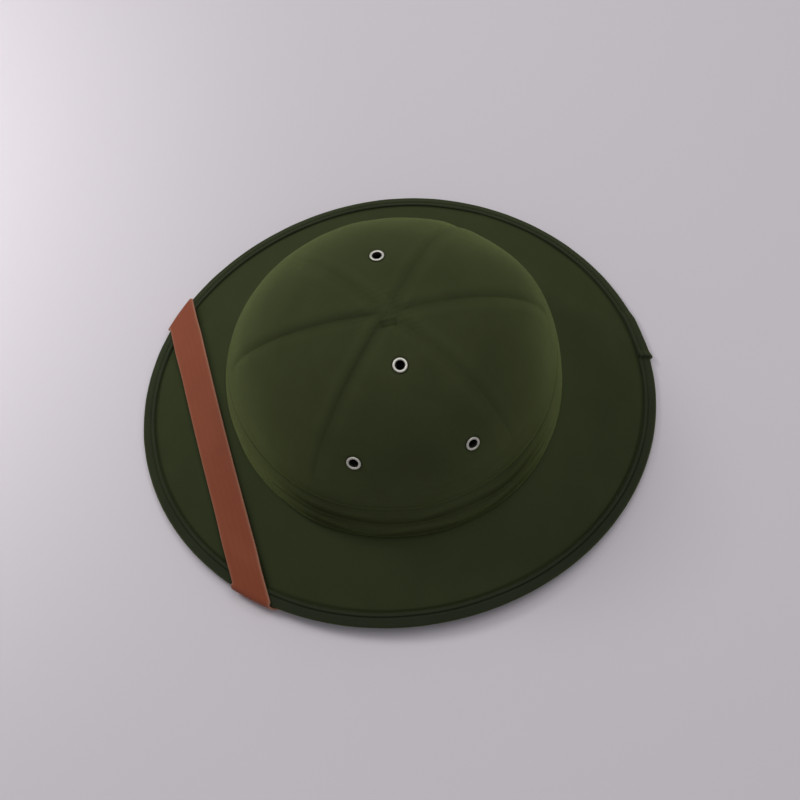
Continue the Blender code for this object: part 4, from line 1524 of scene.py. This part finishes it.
@dataclass(frozen=True)
class BrimCloth:
    """The cloth over the top of the brim."""

    brim: BrimForm
    cloth: float = 1.0 * MM
    steps: int = 480
    rows: int = 44
    start: float = -1.0 * MM
    slack: float = 0.14 * MM
    # painted shadow by the crown, the tape and the strap, and painted light near the crown
    crown_shade: float = 0.05
    tape_shade: float = 0.65
    strap_shade: float = 0.45
    crown_painted_light: float = 0.30

    def build(self, finish: ClothFinish, strap: ChinStrap) -> None:
        """Make the cover, a wall with a little slackness and painted shadow below the strap."""
        angle = whole_turn(self.steps)
        part = np.linspace(0.0, 1.0, self.rows)[:, None]
        low = self.brim.share_at(angle, self.start)
        share = low + (1.0 - low) * part
        base = self.brim.surface(angle, share, self.brim.cover_top)
        slack = ripple(base[..., 0], base[..., 1], 42.0 * MM, 31) * np.sin(math.pi * part) ** 0.5
        outer = self.brim.surface(angle, share, self.brim.cover_top + self.slack * slack)
        inner = self.brim.surface(angle, share, self.brim.cover_top - self.cloth)
        width = self.brim.level_width(angle)
        out = share * width
        # painted shadow at the crown's foot, along the tape's inner edge, and under and beside the
        # strap
        shade = np.maximum.reduce([
            self.crown_shade * np.exp(-np.maximum(out - 2.4 * MM, 0.0) / (1.2 * MM)),
            self.tape_shade * hump(width - 6.6 * MM - out, 0.8 * MM),
            self.strap_shade * strap.cover(base)])
        # painted light: the cloth is paler near the crown, against the shade that falls there
        lightening = self.crown_painted_light * np.exp(-np.maximum(out - 3.0 * MM, 0.0) / (12.0 * MM))
        kept = np.ones((self.rows - 1, self.steps), bool)
        marks = {"shade": shade, "lightening": lightening}
        make_piece("brim_cloth", wall(outer, inner, kept, closed(base)[..., :2], marks),
                   finish.material(), ("brim_cover",), 80.0)


@dataclass(frozen=True)
class StrapStuds:
    """The two plain studs that hold the strap's ends under the brim."""

    brim: BrimForm
    head: float = 4.5 * MM
    head_height: float = 1.3 * MM
    shank: float = 1.7 * MM
    head_drop: float = 2.6 * MM
    shank_top: float = 1.3 * MM
    tip: float = 0.05 * MM
    rim: float = 0.3 * MM

    def profile(self) -> Array:
        """The section: a domed head below, and the shank up into the shell."""
        cosine, sine = arc(-90.0, 0.0, 11)
        dome = vectors(self.tip + (self.head - self.tip) * cosine,
                       (self.head_height - self.rim) * sine - self.head_drop - self.rim)
        rest = np.array([(self.head - 0.15 * MM, -self.head_drop), (self.shank, -self.head_drop),
                         (self.shank, self.shank_top), (self.tip, self.shank_top)])
        return np.concatenate([dome, rest])

    def build(self, finish: MetalFinish) -> None:
        """Make both studs."""
        material = finish.material()
        profile = self.profile()
        for name, angle in (("left", 90.0), ("right", -90.0)):
            point, _, axis = self.brim.stud(angle)
            body = revolved(profile, np.zeros(len(profile)), 40,
                            point - axis * self.brim.shell_below, axis)
            make_piece(f"stud_{name}", body, material,
                       (f"strap_stud_{name}",), 60.0)


@dataclass(frozen=True)
class FibreShell:
    """The pressed shell: crown and brim in one, with the holes for eyelets and studs."""

    crown: CrownForm
    brim: BrimForm
    eyelets: Eyelets
    outer_depth: float = 1.4 * MM
    inner_depth: float = 3.6 * MM
    brim_top: float = 0.15 * MM
    edge_set: float = 0.57 * MM
    steps: int = 360
    stud_hole: float = 2.1 * MM
    corner: float = 2.2 * MM
    roughness: float = 0.12 * MM
    # painted shade inside the top of the crown
    dome_shade: float = 0.35

    def brim_rows(self, angle: Array, depth: float, lift: float) -> Array:
        """Rows from a rounded corner at the crown's wall out to the shell's edge."""
        side = self.crown.surface(angle, 1.0, -depth)
        level = unit(side - self.crown.surface(angle, 1.0, -depth - MM))
        start = self.brim.share_at(angle, -depth)
        foot = self.brim.surface(angle, start, lift)
        cosine, sine = (part[:, None, None] for part in arc(0.0, 90.0, 6))
        rounded = (side * LEVEL + foot * UP
                   + (level * (1.0 - cosine) + UP * (1.0 - sine)) * self.corner)
        reach = self.brim.share_at(angle, self.corner - depth)
        end = 1.0 - self.edge_set / self.brim.level_width(angle)
        part = np.linspace(0.0, 1.0, 34)[1:, None]
        flat = self.brim.surface(angle, reach + (end - reach) * part, lift)
        return np.concatenate([rounded, flat])

    def build(self, finish: FibreFinish) -> None:
        """Make the shell: a wall from the top, down the crown and out along the brim."""
        angle = whole_turn(self.steps)
        low = float(self.crown.share_at(self.crown.foot + 5.0 * MM))
        share = self.crown.paced_shares(0.01, low, 96, 0.9)[0][:, None]
        outer, inner = (
            np.concatenate([self.crown.surface(angle, share, -depth + 0.0 * share),
                            self.brim_rows(angle, depth, level)])
            for depth, level in ((self.outer_depth, self.brim_top),
                                 (self.inner_depth, -self.brim.shell_below)))
        uneven = ripple(inner[..., 0], inner[..., 1], 30.0 * MM, 51) * self.roughness
        inner = inner + unit(inner - UP * 20.0 * MM) * uneven[..., None]
        kept = np.ones((len(outer) - 1, self.steps), bool)
        for hole in self.eyelets.holes() + self.stud_holes():
            hole.cut(kept, (outer, inner))
        # painted shade: the shell darkens towards the top of the crown, deep inside it
        shade = self.dome_shade * smooth((inner[..., 2] - 60.0 * MM) / (70.0 * MM))
        make_piece("pressed_shell",
                   wall(outer, inner, kept, closed(outer)[..., :2], {"shade": shade}, True),
                   finish.material(), ("fibre_shell",), 60.0)

    def stud_holes(self) -> list[Hole]:
        """The holes for the shanks of the studs."""
        return [Hole(point, up, self.stud_hole)
                for point, _, up in (self.brim.stud(90.0), self.brim.stud(-90.0))]


@dataclass(frozen=True)
class Studio:
    """The floor, the soft light and the camera."""

    floor_colour: Colour = from_screen(214, 209, 214)
    target: tuple = (0.0, -0.45 * MM, 32.6 * MM)
    azimuth: float = 83.677
    elevation: float = 65.054
    distance: float = 821.58 * MM
    roll: float = -5.059
    lens: float = 59.37
    shift_x: float = 0.0034
    shift_y: float = -0.0221
    floor_half: float = 4.0
    sky_colour: Colour = (0.96, 0.945, 1.0)
    sky_strength: float = 0.32
    lights: tuple = (
        ("window", (-0.62, -0.75, 1.05), (-0.16, -0.33, 0.0), 0.45, 5.2, (1.0, 0.99, 0.985), 180.0),
        ("window patch", (-0.15, -0.3, 0.8), (-0.3, -0.6, 0.0), 0.3, 0.9, (1.0, 0.99, 0.985), 70.0),
        ("ceiling", (-0.31, 0.38, 1.6), (0.0, 0.0, 0.0), 1.45, 10.1, (1.0, 0.995, 1.0), 180.0))

    def build_floor(self) -> None:
        """Lay the floor, a broad sheet that the helmet rests on."""
        half = self.floor_half
        corners = [(-half, -half, 0.0), (half, -half, 0.0), (half, half, 0.0),
                   (-half, half, 0.0)]
        mesh = bpy.data.meshes.new("floor")
        mesh.from_pydata(corners, [], [(0, 1, 2, 3)])
        finish = FloorFinish("pale floor", times(self.floor_colour, 0.985),
                             times(self.floor_colour, 1.015))
        mesh.materials.append(finish.material())
        add_object("floor", mesh)

    def add_light(self, name: str, place: tuple, aim: tuple, size: float, power: float,
                  colour: Colour, spread: float) -> None:
        """Hang a square soft light.

        Args:
            name: The light's name.
            place: Where it hangs.
            aim: The point that it faces.
            size: The length of its sides.
            power: Its power in watts.
            colour: Its colour.
            spread: How wide it shines, in degrees.
        """
        light = bpy.data.lights.new(name, "AREA")
        light.spread = math.radians(spread)
        light.size = size
        light.energy = power
        light.color = colour
        holder = add_object(name, light)
        holder.location = place
        way = Vector(aim) - Vector(place)
        holder.rotation_euler = way.to_track_quat("-Z", "Y").to_euler()

    def build_light(self) -> None:
        """Light the room from all round, and more from the front right."""
        world = bpy.data.worlds.new("room")
        world.use_nodes = True
        sky = world.node_tree.nodes["Background"]
        sky.inputs["Color"].default_value = (*self.sky_colour, 1.0)
        sky.inputs["Strength"].default_value = self.sky_strength
        bpy.context.scene.world = world
        for settings in self.lights:
            self.add_light(*settings)

    def build_camera(self) -> None:
        """Set up the camera, high over the helmet's left side."""
        azimuth, elevation = math.radians(self.azimuth), math.radians(self.elevation)
        level = math.cos(elevation)
        back = Vector((math.sin(azimuth) * level, -math.cos(azimuth) * level,
                       math.sin(elevation)))
        right = Vector((math.cos(azimuth), math.sin(azimuth), 0.0))
        upright = Matrix((right, back.cross(right), back)).transposed()
        turn = upright @ Matrix.Rotation(math.radians(self.roll), 3, "Z")
        data = bpy.data.cameras.new("camera")
        data.lens = self.lens
        data.sensor_width = 36.0
        data.shift_x = self.shift_x
        data.shift_y = self.shift_y
        data.clip_start = 0.01
        camera = add_object("camera", data)
        place = Vector(self.target) + back * self.distance
        camera.matrix_world = Matrix.Translation(place) @ turn.to_4x4()
        bpy.context.scene.camera = camera
        bpy.context.scene.view_settings.view_transform = "Standard"

    def build(self) -> None:
        """Make the whole studio."""
        self.build_camera()
        self.build_floor()
        self.build_light()
        LOG.info("studio: floor, lights and camera")


def main() -> None:
    """Dress the helmet, piece by piece, in its studio."""
    logging.basicConfig(level=logging.INFO, format="%(message)s")
    Studio().build()
    crown = CrownForm()
    brim = BrimForm(crown)
    eyelets = Eyelets(crown)
    crown_cloth = ClothFinish("crown cotton", from_screen(51, 56, 35), from_screen(62, 68, 43))
    brim_cotton = ClothFinish("brim cotton", from_screen(48, 54, 34), from_screen(55, 62, 39),
                              sheen=0.18)
    tape = ClothFinish("rim tape", from_screen(40, 44, 32), from_screen(50, 55, 41),
                       Weave.TWILL, 0.8 * MM, 0.16 * MM, sheen=0.25)
    thread = ClothFinish("rim thread", from_screen(30, 35, 24), from_screen(38, 43, 30),
                         pitch=0.3 * MM, depth=0.05 * MM)
    FibreShell(crown, brim, eyelets).build(
        FibreFinish("pressed fibre", from_screen(78, 78, 56), from_screen(104, 104, 76)))
    gores = CrownCloth(crown, eyelets)
    gores.build(crown_cloth)
    strap = ChinStrap(brim)
    BrimCloth(brim).build(brim_cotton, strap)
    CrownBand(crown, brim, gores).build(crown_cloth)
    rim = RimTape(brim)
    rim.build_tape(tape)
    rim.build_stitches(thread)
    eyelets.build(MetalFinish("nickel", (0.46, 0.45, 0.39), (0.66, 0.65, 0.58), 0.58))
    strap.build(LeatherFinish("strap leather", from_screen(127, 66, 44),
                              from_screen(144, 78, 54), from_screen(176, 128, 104)))
    StrapStuds(brim).build(MetalFinish("brass", (0.4, 0.33, 0.2), (0.72, 0.6, 0.38), 0.34))


if __name__ == "__main__":
    main()
